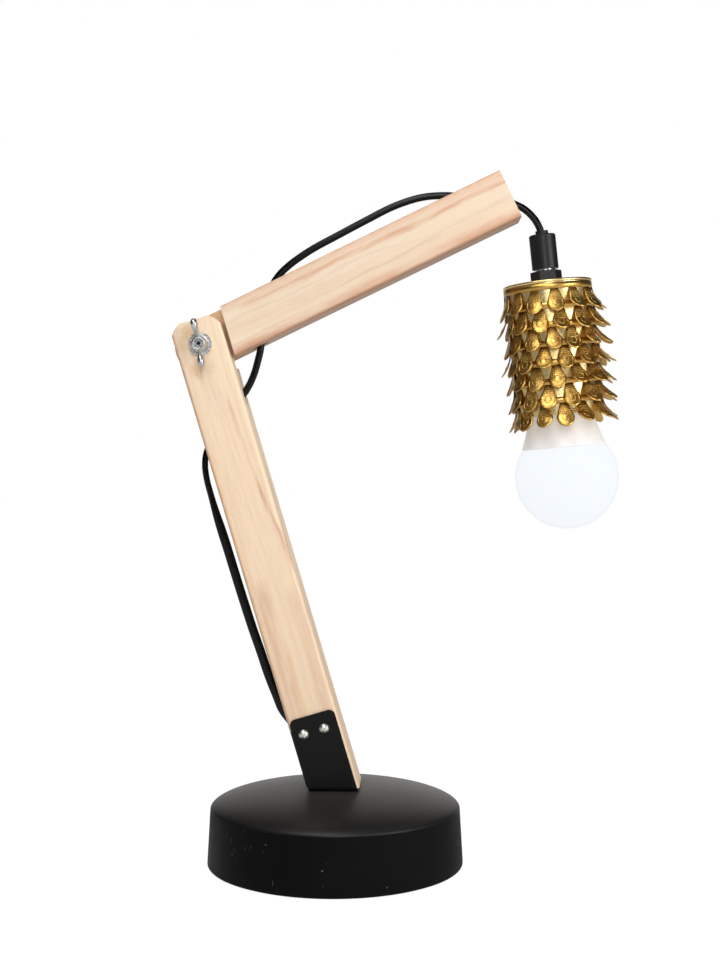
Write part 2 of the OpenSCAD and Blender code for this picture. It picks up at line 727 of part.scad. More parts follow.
module holder_core() {
    bore = sleeve_r + sleeve_t + fixed_fit;
    floor_z = cap_top + tip_h + 2.5;
    wire_r = 1.5;
    color(white) at_head() difference() {
        translate([0, 0, holder_low + 1]) cylinder(r = core_r, h = core_top - holder_low - 1);
        translate([0, 0, holder_low]) cylinder(r = bore, h = floor_z - holder_low);
        for (x = [-9, 9]) translate([x, 0, 0]) cylinder(r = wire_r, h = far, center = true);
    }
}

module holder_sleeve() {
    floor_z = cap_top + tip_h + 2.5;
    color(brass) at_head() translate([0, 0, holder_low + 2])
        tube_ring(sleeve_r + sleeve_t, sleeve_r, floor_z - holder_low - 2);
}

module holder_contact() {
    floor_z = cap_top + tip_h + 2.5;
    tongue_z = cap_top + tip_h + slide_gap;
    color(brass) at_head() {
        translate([-4, -3, tongue_z]) cube([9, 6, 0.8]);
        translate([4, -3, tongue_z]) cube([1, 6, floor_z - tongue_z]);
    }
}

module bulb_globe() {
    wall = 1.6;
    color(white) at_head() translate([0, 0, globe_z]) difference() {
        sphere(globe_r);
        sphere(globe_r - wall);
        translate([0, 0, globe_joint]) cylinder(r = globe_r, h = globe_r);
    }
}

module bulb_neck() {
    joint_r = sqrt(globe_r * globe_r - globe_joint * globe_joint);
    color(white) at_head() translate([0, 0, globe_z]) rotate_extrude() polygon([
        [0, globe_joint], [joint_r + 0.2, globe_joint], [joint_r - 0.6, globe_joint + 4],
        [joint_r * 0.82, globe_joint + 13.3], [joint_r * 0.68, globe_joint + 24],
        [neck_r + 0.6, bulb_neck_h - 6], [neck_r, bulb_neck_h], [0, bulb_neck_h]]);
}

module bulb_cap() {
    pitch = 3.6;
    root = cap_d / 2 - 1.2;
    threads = 4;
    first = 4;
    wave = [for (i = [0 : threads - 1], p = [[0, root], [pitch / 2, cap_d / 2]]) [p[1], first + i * pitch + p[0]]];
    color(zinc) at_head() translate([0, 0, cap_low]) rotate_extrude() polygon(concat(
        [[0, 0], [cap_d / 2 - 0.4, 0], [cap_d / 2 - 0.4, 2]], wave,
        [[root, first + threads * pitch], [tip_r + 1, cap_h], [0, cap_h]]));
}

module bulb_contact() {
    color(zinc) at_head() translate([0, 0, cap_top]) {
        cylinder(r1 = tip_r + 1, r2 = tip_r, h = tip_h - 2);
        translate([0, 0, tip_h - 2]) cylinder(r1 = tip_r, r2 = tip_r * 0.6, h = 2);
    }
}

// Cord along the lamp
module cord_head() {
    axis = [-sin(head_tilt), 0, cos(head_tilt)];
    top = [head.x, 0, head.y] + (grip_z + grip_h + grip_collar_h) * axis;
    cord(concat([top - 9 * axis, top - 5 * axis], head_route));
}

module cord_upper() {
    cord(upper_route);
}

module cord_elbow() {
    cord(elbow_route);
}

module cord_lower() {
    cord(concat(lower_route, [for (i = [1 : len(under_route) - 1]) under_route[i]],
        [concat(relief_in * exit_dir, [exit_h])]));
}

// Lead outside the base
module strain_relief() {
    flange_d = min(relief_d + 4, 2 * (exit_h - pad_t) - 0.4);
    color(black) at_exit() {
        translate([0, 0, relief_in]) cylinder(d = flange_d, h = relief_flange_t);
        translate([0, 0, relief_in]) cylinder(d = relief_d, h = wall_out - relief_in + 0.5);
        translate([0, 0, wall_out + 0.3]) cylinder(d = flange_d - 1, h = relief_flange_t);
        translate([0, 0, wall_out + 0.3])
            cylinder(d1 = relief_d, d2 = cord_d + 1.6, h = relief_len - 0.3);
    }
}

module lead_near() {
    start = concat(exit_end, [exit_h]);
    lead_in = concat(exit_end + cord_d * exit_dir, [exit_h]);
    mouth = [switch_mid.x + switch_l / 2, switch_mid.y, switch_z];
    cord(concat([start, lead_in], near_route, [mouth + [cord_d, 0, 0], mouth]), [0, 0, 1]);
}

module switch_block(low, high) {
    nozzle_l = 6;
    body_l = switch_l - 2 * nozzle_l;
    corner_r = 4;
    translate([switch_mid.x, switch_mid.y, low]) linear_extrude(high - low)
        round_rect(body_l, switch_w, corner_r);
    intersection() {
        translate([switch_mid.x, switch_mid.y, switch_z]) rotate([0, 90, 0])
            cylinder(d = cord_d + 4, h = switch_l, center = true);
        translate([switch_mid.x - switch_l, switch_mid.y - switch_w, low]) cube([2 * switch_l, 2 * switch_w, high - low]);
    }
}

module switch_hollow(low, high) {
    room_l = switch_l - 22;
    translate([switch_mid.x, switch_mid.y, low]) linear_extrude(high - low)
        round_rect(room_l, switch_w - 2 * switch_t, 2);
}

module at_switch_screws() {
    for (x = [-1, 1]) translate([switch_mid.x + x * (switch_l / 2 - 8.6), switch_mid.y, 0]) children();
}

module switch_base() {
    color(black) difference() {
        switch_block(0, switch_z);
        switch_hollow(switch_t, far);
        at_switch_screws() translate([0, 0, -1]) cylinder(r = 1.5 + fixed_fit, h = far);
    }
}

module switch_cover() {
    open_l = rocker_l + 2 * slide_gap + 0.6;
    color(black) difference() {
        switch_block(switch_z, switch_h);
        switch_hollow(switch_z - 1, switch_h - switch_t);
        translate([switch_mid.x, switch_mid.y, switch_h])
            cube([open_l, rocker_w + 2 * slide_gap, far], center = true);
        translate([switch_mid.x, switch_mid.y, rocker_z]) rotate([90, 0, 0])
            cylinder(r = rocker_pin_d / 2 + run_fit, h = switch_w - 2 * switch_t + 2, center = true);
        at_switch_screws() cylinder(r = 1.5 + fixed_fit, h = switch_h - 2);
    }
}

module switch_rocker() {
    crown = 2.4;
    dish_r = 30;
    color(black) translate([switch_mid.x, switch_mid.y, rocker_z]) rotate([0, -rocker_tilt, 0]) {
        slab(rocker_w) difference() {
            polygon([[-rocker_l / 2 + 1.5, -3], [rocker_l / 2 - 1.5, -3], [rocker_l / 2, 0],
                [rocker_l / 2 - 0.4, crown], [-rocker_l / 2 + 0.4, crown], [-rocker_l / 2, 0]]);
            translate([0, crown + dish_r - 0.9]) circle(dish_r);
        }
        rotate([90, 0, 0])
            cylinder(d = rocker_pin_d, h = switch_w - 2 * switch_t + 1.4, center = true);
    }
}

module switch_screws() {
    color(zinc) at_switch_screws() cylinder(r = 1.5, h = switch_h - 2.5);
}

module lead_far() {
    mouth = [switch_mid.x - switch_l / 2, switch_mid.y, switch_z];
    finish = [coil_mid.x + cord_d, coil_mid.y + coil_out, coil_z];
    cord(concat([mouth, mouth - [cord_d, 0, 0]], far_route, [finish + [cord_d, 0, 0], finish]), [0, 0, 1]);
}

// The coil spirals in and out again, one layer at a time, and climbs where the spiral turns back
function coil_point(turn) =
    let (
        layer = turn / turns_layer,
        part = layer - floor(layer),
        inward = floor(layer) % 2 == 0 ? part : 1 - part,
        r = layer >= coil_layers ? coil_out : coil_out - (coil_out - coil_in) * inward,
        climb = [for (i = [1 : coil_layers - 1]) smooth((turn - i * turns_layer) / 0.5 + 0.5)],
        a = coil_start_a + 360 * turn
    )
    [coil_mid.x + r * cos(a), coil_mid.y + r * sin(a), coil_z + coil_pitch * (climb * [for (c = climb) 1])];
coil_rings = 24;
coil_wound = [for (i = [0 : coil_turns * coil_rings]) coil_point(i / coil_rings)];
coil_top_z = coil_z + coil_pitch * (coil_layers - 1);
coil_path = concat([[coil_mid.x + cord_d, coil_mid.y + coil_out, coil_z]], coil_wound,
    [[coil_mid.x + coil_out, coil_mid.y + cord_d, coil_top_z]]);
coil_gap = min([for (i = [0 : 3 : len(coil_wound) - 1], j = [i + 12 : len(coil_wound) - 1])
    norm(coil_wound[i] - coil_wound[j])]) - cord_d;
echo(coil_gap = coil_gap);

module lead_coil() {
    color(black) tube(coil_path, cord_d, 6, [0, 0, 1]);
}

module coil_tie() {
    inner_side = coil_in - cord_d / 2 - 1.2;
    outer_side = coil_out + cord_d / 2 + 0.5;
    top = coil_top_z + cord_d / 2 + 0.3;
    low = coil_z - cord_d / 2 - 0.3;
    mid = (inner_side + outer_side) / 2;
    color(black) translate([coil_mid.x, coil_mid.y, (top + low) / 2]) rotate([0, 0, tie_turn]) translate([mid, 0, 0])
        slab(tie_w) difference() {
            round_rect(outer_side - inner_side + 2 * tie_t, top - low + 2 * tie_t, 2.5);
            round_rect(outer_side - inner_side, top - low, 1.6);
        }
}

module lead_tail() {
    start = [coil_mid.x + coil_out, coil_mid.y + cord_d, coil_top_z];
    finish = [plug_at.x, plug_at.y, plug_h / 2];
    cord(concat([start, start + [0, cord_d, 0]], tail_route, [finish - [cord_d, 0, 0], finish]), [0, 0, 1]);
}

module plug_body() {
    nose = plug_at.x + plug_relief_l + plug_l;
    heel = plug_at.x + plug_relief_l;
    color(black) difference() {
        union() {
            translate([plug_at.x, plug_at.y, plug_h / 2]) rotate([0, 90, 0])
                cylinder(d1 = cord_d + 2, d2 = plug_h - 3, h = plug_relief_l + 1);
            translate([heel, plug_at.y, 0]) linear_extrude(plug_h) polygon([
                [0, -5], [6, -plug_w * 0.33], [plug_l * 0.55, -plug_w * 0.4], [plug_l - 6, -plug_w / 2],
                [plug_l, -plug_w / 2], [plug_l, plug_w / 2], [plug_l - 6, plug_w / 2],
                [plug_l * 0.55, plug_w * 0.4], [6, plug_w * 0.33], [0, 5]]);
        }
        for (s = [-0.5, 0.5]) translate([nose - 6, plug_at.y + s * pin_pitch, plug_h / 2])
            rotate([0, 90, 0]) cylinder(d = pin_d + 2 * fixed_fit, h = far);
    }
}

module plug_pins() {
    nose = plug_at.x + plug_relief_l + plug_l;
    color(zinc) for (s = [-0.5, 0.5]) translate([nose - 6, plug_at.y + s * pin_pitch, plug_h / 2]) rotate([0, 90, 0]) {
        cylinder(d = pin_d, h = 6 + pin_l - 1);
        translate([0, 0, 6 + pin_l - 1]) cylinder(d1 = pin_d, d2 = pin_d - 1.4, h = 1);
    }
}

base_shell();
base_weight();
base_pad();
stem_pipe();
pipe_nuts();
bracket();
arm_screws();
lower_arm();
upper_arm();
elbow_bolt();
elbow_washers();
wing_nut();
cord_grip();
grip_screw();
lock_nut();
nipple();
shade_cup();
for (i = [1 : ring_count]) petal_ring(i);
holder_shell();
holder_core();
holder_sleeve();
holder_contact();
bulb_globe();
bulb_neck();
bulb_cap();
bulb_contact();
cord_head();
cord_upper();
cord_elbow();
cord_lower();
strain_relief();
lead_near();
switch_base();
switch_cover();
switch_rocker();
switch_screws();
lead_far();
lead_coil();
coil_tie();
lead_tail();
plug_body();
plug_pins();
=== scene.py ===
from contextlib import contextmanager
from math import asin, copysign, cos, exp, floor, hypot, pi, radians, sin, sqrt
import bmesh
import bpy
from mathutils import Matrix, Vector


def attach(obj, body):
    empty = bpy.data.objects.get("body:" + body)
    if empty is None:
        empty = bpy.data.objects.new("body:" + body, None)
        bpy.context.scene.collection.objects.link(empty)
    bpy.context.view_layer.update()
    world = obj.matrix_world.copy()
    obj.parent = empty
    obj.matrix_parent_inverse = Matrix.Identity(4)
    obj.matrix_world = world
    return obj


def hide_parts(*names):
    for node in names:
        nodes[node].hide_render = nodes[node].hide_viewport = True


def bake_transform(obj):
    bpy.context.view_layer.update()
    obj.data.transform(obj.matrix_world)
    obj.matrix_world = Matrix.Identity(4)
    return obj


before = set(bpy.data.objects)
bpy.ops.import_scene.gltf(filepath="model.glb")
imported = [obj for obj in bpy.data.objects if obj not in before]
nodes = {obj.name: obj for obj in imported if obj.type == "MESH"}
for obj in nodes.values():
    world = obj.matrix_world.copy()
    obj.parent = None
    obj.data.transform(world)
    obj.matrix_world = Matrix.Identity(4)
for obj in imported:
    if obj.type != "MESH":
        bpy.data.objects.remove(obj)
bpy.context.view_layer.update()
scene = bpy.context.scene
mm = 0.001
print("frame loaded")


def moved(x, y, z):
    return Matrix.Translation((x * mm, y * mm, z * mm))


def turned(degrees, axis):
    return Matrix.Rotation(radians(degrees), 4, axis)


# places that several pieces share, in mm and degrees
headFrame = {"x": 123.375, "z": 340.488, "lean": 6}
elbowFrame = {"x": -77.136, "z": 304.747, "lowerLean": 16.6, "upperRise": 25.7}
headMatrix = moved(headFrame["x"], 0, headFrame["z"]) @ turned(-headFrame["lean"], "Y")
elbowMatrix = moved(elbowFrame["x"], 0, elbowFrame["z"])
toHead, toElbow = -headMatrix.translation, -elbowMatrix.translation


def addObject(name, data):
    obj = bpy.data.objects.new(name, data)
    scene.collection.objects.link(obj)
    return obj


def pointAt(obj, place, aim):
    obj.location = place
    obj.rotation_euler = (Vector(aim) - Vector(place)).to_track_quat("-Z", "Y").to_euler()


# camera at the photograph's view, for a 720 x 960 image
viewSettings = {"eye": (45.6, -900, 246), "aim": (14.6, 0, 226), "focalPx": 1538, "imageHeight": 960,
                "sensor": 36, "clipStart": 0.01}


def makeCamera(s):
    cam = bpy.data.cameras.new("photoCamera")
    cam.sensor_fit = "VERTICAL"
    cam.sensor_height = s["sensor"]
    cam.lens = s["focalPx"] / s["imageHeight"] * s["sensor"]
    cam.clip_start = s["clipStart"]
    scene.camera = addObject("photoCamera", cam)
    pointAt(scene.camera, Vector(s["eye"]) * mm, Vector(s["aim"]) * mm)


makeCamera(viewSettings)
print("camera set")


# small mesh tools
@contextmanager
def editing(mesh):
    bm = bmesh.new()
    bm.from_mesh(mesh)
    yield bm
    bm.to_mesh(mesh)
    bm.free()


def newPiece(name, verts, faces):
    mesh = bpy.data.meshes.new(name)
    mesh.from_pydata(verts, [], faces)
    mesh.validate()
    mesh.shade_smooth()
    return addObject(name, mesh)


def setUv(mesh, uvs):
    layer = mesh.uv_layers.new(name="UVMap")
    for loop in mesh.loops:
        layer.data[loop.index].uv = uvs[loop.vertex_index]


def sharpen(bm, degrees):
    for e in bm.edges:
        e.smooth = not (len(e.link_faces) == 2 and e.calc_face_angle(0) > radians(degrees))
    for f in bm.faces:
        f.smooth = True


def faceOut(obj, sharp, merge=1e-6):
    with editing(obj.data) as bm:
        if merge:
            bmesh.ops.remove_doubles(bm, verts=bm.verts, dist=merge)
        bmesh.ops.recalc_face_normals(bm, faces=bm.faces)
    with editing(obj.data) as bm:
        sharpen(bm, sharp)


def roundAbout(r, z, turns):
    angles = [2 * pi * k / turns for k in range(turns)]
    return [(r * cos(a), r * sin(a), z) for a in angles]


def strip(a, b):
    # quads between two closed rows
    n = len(a)
    return [[a[k], a[(k + 1) % n], b[(k + 1) % n], b[k]] for k in range(n)]


def ease(t):
    t = min(1, max(0, t))
    return t * t * (3 - 2 * t)


def lathe(name, profile, matrix, turns=96, sharp=40):
    # profile is a list of (r, z) in mm, closed back on itself or on the axis
    onAxis = 1e-6
    verts, faces, rows = [], [], []
    for r, z in profile:
        ring = [(0, 0, z * mm)] if r < onAxis else roundAbout(r * mm, z * mm, turns)
        rows.append([len(verts) + k % len(ring) for k in range(turns)])
        verts += ring
    if profile[0][0] > onAxis:
        rows.append(rows[0])
    for a, b in zip(rows, rows[1:]):
        corners = [list(dict.fromkeys(quad)) for quad in strip(a, b)]
        faces += [c for c in corners if len(c) > 2]
    obj = newPiece(name, verts, faces)
    obj.data.transform(matrix)
    faceOut(obj, sharp)
    return obj


def between(a, b, ta, tb, t):
    return a * ((tb - t) / (tb - ta)) + b * ((t - ta) / (tb - ta))


def smoothRoute(points, step):
    # a smooth curve through the points, with a point about every step mm
    pts = [Vector(p) for p in points]
    pts = [pts[0] * 2 - pts[1]] + pts + [pts[-1] * 2 - pts[-2]]
    line = []
    for i in range(1, len(pts) - 2):
        p0, p1, p2, p3 = pts[i - 1:i + 3]
        t0, t1 = 0, (p1 - p0).length ** 0.5
        t2 = t1 + (p2 - p1).length ** 0.5
        t3 = t2 + (p3 - p2).length ** 0.5
        count = max(2, round((p2 - p1).length / step))
        for k in range(count):
            t = t1 + (t2 - t1) * k / count
            a1, a2 = between(p0, p1, t0, t1, t), between(p1, p2, t1, t2, t)
            a3 = between(p2, p3, t2, t3, t)
            b1, b2 = between(a1, a2, t0, t2, t), between(a2, a3, t1, t3, t)
            line.append(between(b1, b2, t1, t2, t))
    line.append(pts[-2])
    return line


def routeLength(line):
    return sum((b - a).length for a, b in zip(line, line[1:]))


def sweepTube(name, line, size, up, flat, sides=20, sharp=60):
    # an oval tube along line in mm, on edge at first
    # flat: from which share of its length it turns to lie flat, and over what share
    verts, faces, uvs = [], [], []
    total, run = routeLength(line), 0
    for i, p in enumerate(line):
        ahead = (line[min(i + 1, len(line) - 1)] - line[max(i - 1, 0)]).normalized()
        side = ahead.cross(Vector(up)).normalized()
        over = side.cross(ahead)
        run += (p - line[i - 1]).length if i else 0
        turn = radians(90 * (1 - ease((run / total - flat[0]) / flat[1])))
        c, q = cos(turn), sin(turn)
        for k in range(sides):
            a = 2 * pi * k / sides
            u, v = size[0] / 2 * cos(a), size[1] / 2 * sin(a)
            verts.append((p + side * (u * c - v * q) + over * (u * q + v * c)) * mm)
            uvs.append((k / sides, run * mm))
    rows = [list(range(i * sides, (i + 1) * sides)) for i in range(len(line))]
    for a, b in zip(rows, rows[1:]):
        faces += strip(a, b)
    obj = newPiece(name, verts, faces + [rows[0], rows[-1]])
    setUv(obj.data, uvs)
    faceOut(obj, sharp, merge=0)
    return obj


# material tools
def setSocket(node, **values):
    for key, value in values.items():
        node.inputs[key.replace("_", " ")].default_value = value


class Graph:
    # short calls for one node tree
    def __init__(self, tree):
        self.tree = tree
        self.shader = tree.nodes.get("Principled BSDF")

    def add(self, kind, feeds=None, **props):
        node = self.tree.nodes.new(kind)
        for key, value in props.items():
            setattr(node, key, value)
        for socket, value in (feeds or {}).items():
            if hasattr(value, "is_output"):
                self.join(value, node.inputs[socket])
            else:
                node.inputs[socket].default_value = value
        return node

    def join(self, source, target):
        self.tree.links.new(source, target)

    def calc(self, operation, a, b=0, *more):
        result = self.add("ShaderNodeMath", {0: a, 1: b}, operation=operation).outputs[0]
        return self.calc(operation, result, *more) if more else result

    def times(self, *values):
        return self.calc("MULTIPLY", *values)

    def plus(self, *values):
        return self.calc("ADD", *values)

    def most(self, *values):
        return self.calc("MAXIMUM", *values)

    def minus(self, a, b):
        return self.calc("SUBTRACT", a, b)

    def size(self, a):
        return self.calc("ABSOLUTE", a)

    def span(self, a, b):
        # distance from its two offsets
        return self.calc("SQRT", self.plus(self.times(a, a), self.times(b, b)))

    def noise(self, vector, scale, detail=3, rough=0.55):
        feeds = {"Vector": vector, "Scale": scale, "Detail": detail, "Roughness": rough}
        return self.add("ShaderNodeTexNoise", feeds).outputs["Fac"]

    def remap(self, value, low, high, toLow=0, toHigh=1, kind="SMOOTHSTEP"):
        feeds = {"Value": value, "From Min": low, "From Max": high, "To Min": toLow, "To Max": toHigh}
        return self.add("ShaderNodeMapRange", feeds, interpolation_type=kind, clamp=True).outputs[0]

    def mix(self, fac, a, b):
        return self.add("ShaderNodeMix", {0: fac, 6: a, 7: b}, data_type="RGBA").outputs[2]

    def mapping(self, vector, place=(0, 0, 0), turn=(0, 0, 0), scale=(1, 1, 1)):
        feeds = {"Vector": vector, "Location": place, "Rotation": turn, "Scale": scale}
        return self.add("ShaderNodeMapping", feeds).outputs[0]

    def bump(self, height, strength, distance=0.0002):
        feeds = {"Height": height, "Strength": strength, "Distance": distance}
        return self.add("ShaderNodeBump", feeds).outputs[0]

    def axes(self, vector):
        return self.add("ShaderNodeSeparateXYZ", {0: vector}).outputs

    def feedShader(self, color, roughness, normal=None):
        self.join(color, self.shader.inputs["Base Color"])
        self.join(roughness, self.shader.inputs["Roughness"])
        if normal is not None:
            self.join(normal, self.shader.inputs["Normal"])


def newGroup(name, inputs, outputs):
    # inputs by name with their values; colours are tuples
    tree = bpy.data.node_groups.new(name, "ShaderNodeTree")
    tree.interface.new_socket("Vector", in_out="INPUT", socket_type="NodeSocketVector")
    for label, value in inputs.items():
        kind = "NodeSocketColor" if isinstance(value, tuple) else "NodeSocketFloat"
        tree.interface.new_socket(label, in_out="INPUT", socket_type=kind).default_value = value
    for label in outputs:
        kind = "NodeSocketColor" if label == "Color" else "NodeSocketFloat"
        tree.interface.new_socket(label, in_out="OUTPUT", socket_type=kind)
    g = Graph(tree)
    return g, g.add("NodeGroupInput").outputs, g.add("NodeGroupOutput").inputs


def useGroup(g, tree, vector, **values):
    node = g.add("ShaderNodeGroup", {"Vector": vector}, node_tree=tree)
    setSocket(node, **values)
    return node.outputs


materials = {}


def startMaterial(name, **fixed):
    # fixed is what stays the same all over the surface
    mat = materials[name] = bpy.data.materials.new(name)
    mat.use_nodes = True
    g = Graph(mat.node_tree)
    setSocket(g.shader, **fixed)
    return g


def newMaterial(name, **fixed):
    g = startMaterial(name, **fixed)
    return g, g.add("ShaderNodeTexCoord").outputs["Object"]


# specks of dust, haze and fine grain, for painted and moulded surfaces
def makeDustGroup():
    values = {"Speck Scale": 320, "Speck Amount": 0.5, "Grain Scale": 1500}
    g, inp, out = newGroup("dustAndScuffs", values, ("Specks", "Haze", "Grain"))
    v = inp["Vector"]
    cells = g.add("ShaderNodeTexVoronoi", {"Vector": v, "Scale": inp["Speck Scale"]})
    dots = g.remap(cells.outputs["Distance"], 0.1, 0.22, 1, 0)
    few = g.remap(g.plus(g.noise(v, 90, 2), inp["Speck Amount"]), 1.08, 1.2)
    g.join(g.times(dots, few), out["Specks"])
    g.join(g.noise(v, 22, 4, 0.6), out["Haze"])
    g.join(g.noise(v, inp["Grain Scale"], 2, 0.5), out["Grain"])
    return g.tree


# pale timber, grain along local Z
grainTones = {"cloud": (0.86, 0.71, 0.53, 1), "mottle": (0.76, 0.6, 0.46, 1), "pore": (0.58, 0.37, 0.24, 1),
              "fibre": (0.6, 0.43, 0.28, 1)}


def makeGrainGroup(s):
    values = {"Pale": (0.8, 0.63, 0.44, 1), "Streak": (0.7, 0.46, 0.31, 1), "Streak Strength": 0.48}
    g, inp, out = newGroup("paleGrain", values, ("Color", "Roughness", "Height"))

    def drawn(share):
        return g.mapping(inp["Vector"], scale=(1, 1, share))

    rows = drawn(0.045)
    xyz = g.axes(rows)
    warp = g.noise(drawn(0.12), 30, 2)
    rings = g.plus(g.times(xyz[0], 190), g.times(xyz[1], 60), g.times(warp, 3.4))
    late = g.remap(g.calc("PINGPONG", rings, 1), 0.72, 1)
    broad = g.remap(g.noise(rows, 55, 3, 0.6), 0.46, 0.72)
    fibre = g.noise(drawn(0.02), 900, 3, 0.65)
    pores = g.remap(g.noise(drawn(0.06), 1300, 2, 0.5), 0.56, 0.7)
    color = g.mix(g.remap(g.noise(drawn(0.35), 26, 2), 0.3, 0.7, 0, 0.35), inp["Pale"], s["cloud"])
    color = g.mix(g.remap(g.noise(drawn(0.3), 150, 3, 0.6), 0.5, 0.75, 0, 0.45), color, s["mottle"])
    streaks = g.times(g.most(g.times(late, 0.55), broad), inp["Streak Strength"])
    color = g.mix(streaks, color, inp["Streak"])
    color = g.mix(g.times(pores, 0.15), color, s["pore"])
    color = g.mix(g.remap(fibre, 0.25, 0.75, 0, 0.16), color, s["fibre"])
    g.join(color, out["Color"])
    g.join(g.remap(fibre, 0.2, 0.8, 0.5, 0.64), out["Roughness"])
    g.join(g.minus(g.times(fibre, 0.5), g.times(pores, 0.5)), out["Height"])
    return g.tree


# uneven antique gold tone, shared by the cup and the petals
def makeGoldGroup():
    values = {"Bright": (0.88, 0.58, 0.16, 1), "Dark": (0.4, 0.17, 0.02, 1), "Tarnish": 0.4, "Rough": 0.3}
    g, inp, out = newGroup("antiqueGold", values, ("Color", "Roughness", "Height"))
    blotch = g.noise(inp["Vector"], 170, 4, 0.6)
    fine = g.noise(inp["Vector"], 900, 3, 0.6)
    mask = g.remap(g.plus(g.times(blotch, 0.75), g.times(fine, 0.25)), 0.4, 0.68)
    g.join(g.mix(g.times(mask, inp["Tarnish"]), inp["Bright"], inp["Dark"]), out["Color"])
    g.join(g.plus(inp["Rough"], g.times(mask, 0.16), g.times(fine, 0.08)), out["Roughness"])
    g.join(g.plus(g.times(fine, 0.3), blotch), out["Height"])
    return g.tree


dustGroup = makeDustGroup()
grainGroup = makeGrainGroup(grainTones)
goldGroup = makeGoldGroup()
print("material tools ready")


# painted and moulded finishes
# dust and painted sheen on the base's top, its gloss coat and scuffs
baseWearAndSheen = {
    "dustAndSheenTone": (0.078, 0.062, 0.05, 1), "dustAndSheenRise": (0.55, 0.97), "dustAndSheenDepth": (-0.085, 0.05),
    "dustAndSheenShare": (0.7, 1), "coat": 0.65, "coatRise": (0.1, 0.5), "coatRough": 0.44, "scuffs": 0.3,
    "scuffTilt": 0.35, "scuffSide": (-0.018, -0.03),
}
paintSettings = {
    "powderBlack": {"color": (0.003, 0.0031, 0.0036), "rough": 0.52, "grainBump": 0.22, "specks": 0.46,
                    "speckColor": (0.22, 0.215, 0.21, 1), "shine": 0.06, "wearAndSheen": baseWearAndSheen},
    "bracketBlack": {"color": (0.0045, 0.0045, 0.0048), "rough": 0.42, "grainBump": 0.3, "specks": 0.2,
                     "shine": 0.15},
    "mouldedBlack": {"color": (0.008, 0.008, 0.0082), "rough": 0.36, "grainBump": 0.08, "specks": 0.1,
                     "grainScale": 2200, "shine": 0.3},
    "softPad": {"color": (0.02, 0.02, 0.02), "rough": 0.8, "grainBump": 0.4, "specks": 0.3},
    "castIron": {"color": (0.06, 0.06, 0.062), "rough": 0.7, "grainBump": 0.6, "specks": 0.3, "grainScale": 600},
    "holderWhite": {"color": (0.75, 0.74, 0.7), "rough": 0.5, "grainBump": 0.05, "specks": 0.1, "shine": 0.5},
}


def addWearAndSheen(g, spot, dust, tone, speckColor, s):
    # warm dust and painted sheen on faces that look up, both thickest behind the arm; a gloss coat on them; scuffs on
    # the left of the wall
    rise = g.axes(g.add("ShaderNodeNewGeometry").outputs["Normal"])[2]
    xyz = g.axes(spot)
    share = g.remap(dust["Haze"], 0.2, 0.8, *s["dustAndSheenShare"])
    dustAndSheen = g.times(g.remap(rise, *s["dustAndSheenRise"]), g.remap(xyz[1], *s["dustAndSheenDepth"]), share)
    tone = g.mix(dustAndSheen, tone, s["dustAndSheenTone"])
    g.join(g.remap(rise, *s["coatRise"], 0, s["coat"]), g.shader.inputs["Coat Weight"])
    setSocket(g.shader, Coat_Roughness=s["coatRough"])
    slanted = g.mapping(spot, turn=(0, s["scuffTilt"], 0), scale=(1, 1, 0.2))
    patches = g.remap(g.noise(spot, 60, 2), 0.44, 0.58)
    knocked = g.times(patches, g.remap(xyz[0], *s["scuffSide"]))
    scuffs = g.times(g.remap(g.noise(slanted, 620, 2), 0.66, 0.74), knocked, s["scuffs"])
    return g.mix(scuffs, tone, speckColor)


def painted(name, color, rough, grainBump, specks, speckColor=(0.45, 0.44, 0.42, 1), grainScale=1500,
            shine=0.25, wearAndSheen=None):
    g, spot = newMaterial(name, Specular_IOR_Level=shine)
    dust = useGroup(g, dustGroup, spot, Speck_Amount=specks, Grain_Scale=grainScale)
    faded = tuple(c * 1.5 + 0.001 for c in color)
    tone = g.mix(g.remap(dust["Haze"], 0.35, 0.75, 0, 0.35), (*color, 1), (*faded, 1))
    tone = g.mix(g.times(dust["Specks"], 0.55), tone, speckColor)
    if wearAndSheen:
        tone = addWearAndSheen(g, spot, dust, tone, speckColor, wearAndSheen)
    roughness = g.remap(dust["Haze"], 0.3, 0.7, rough - 0.05, rough + 0.06)
    g.feedShader(tone, g.plus(roughness, g.times(dust["Specks"], 0.2)), g.bump(dust["Grain"], grainBump))


# plated metal, colour and roughness
plateSettings = {"zincPlate": ((0.58, 0.595, 0.6), 0.24), "boltZinc": ((0.62, 0.63, 0.63), 0.22),
                 "screwZinc": ((0.8, 0.8, 0.74), 0.32), "nickelPlate": ((0.72, 0.7, 0.66), 0.2)}
boltDimpleShade = {"tone": (0.03, 0.03, 0.032, 1), "outer": 0.0014, "inner": 0.0009}


def plated(name, color, rough):
    g, spot = newMaterial(name, Metallic=1)
    lines = g.noise(g.mapping(spot, scale=(40, 40, 900)), 6, 4, 0.6)
    blotch = g.noise(spot, 260, 3)
    dull = tuple(c * 0.62 for c in color)
    tone = g.mix(g.remap(blotch, 0.35, 0.7, 0, 0.5), (*color, 1), (*dull, 1))
    roughness = g.plus(g.remap(blotch, 0.3, 0.7, rough - 0.05, rough + 0.1), g.times(lines, 0.08))
    g.feedShader(tone, roughness, g.bump(lines, 0.12))


def shadeBoltDimple(mat, s):
    # the bolt's end is darker in its middle: painted shade of its centre dimple
    g = Graph(mat.node_tree)
    base = g.shader.inputs["Base Color"]
    at = g.axes(g.mapping(g.add("ShaderNodeTexCoord").outputs["Object"], place=toElbow))
    dimpleShade = g.remap(g.span(at[0], at[2]), s["outer"], s["inner"])
    g.join(g.mix(dimpleShade, base.links[0].from_socket, s["tone"]), base)


for name, s in paintSettings.items():
    painted(name, **s)
for name, s in plateSettings.items():
    plated(name, *s)
shadeBoltDimple(materials["boltZinc"], boltDimpleShade)
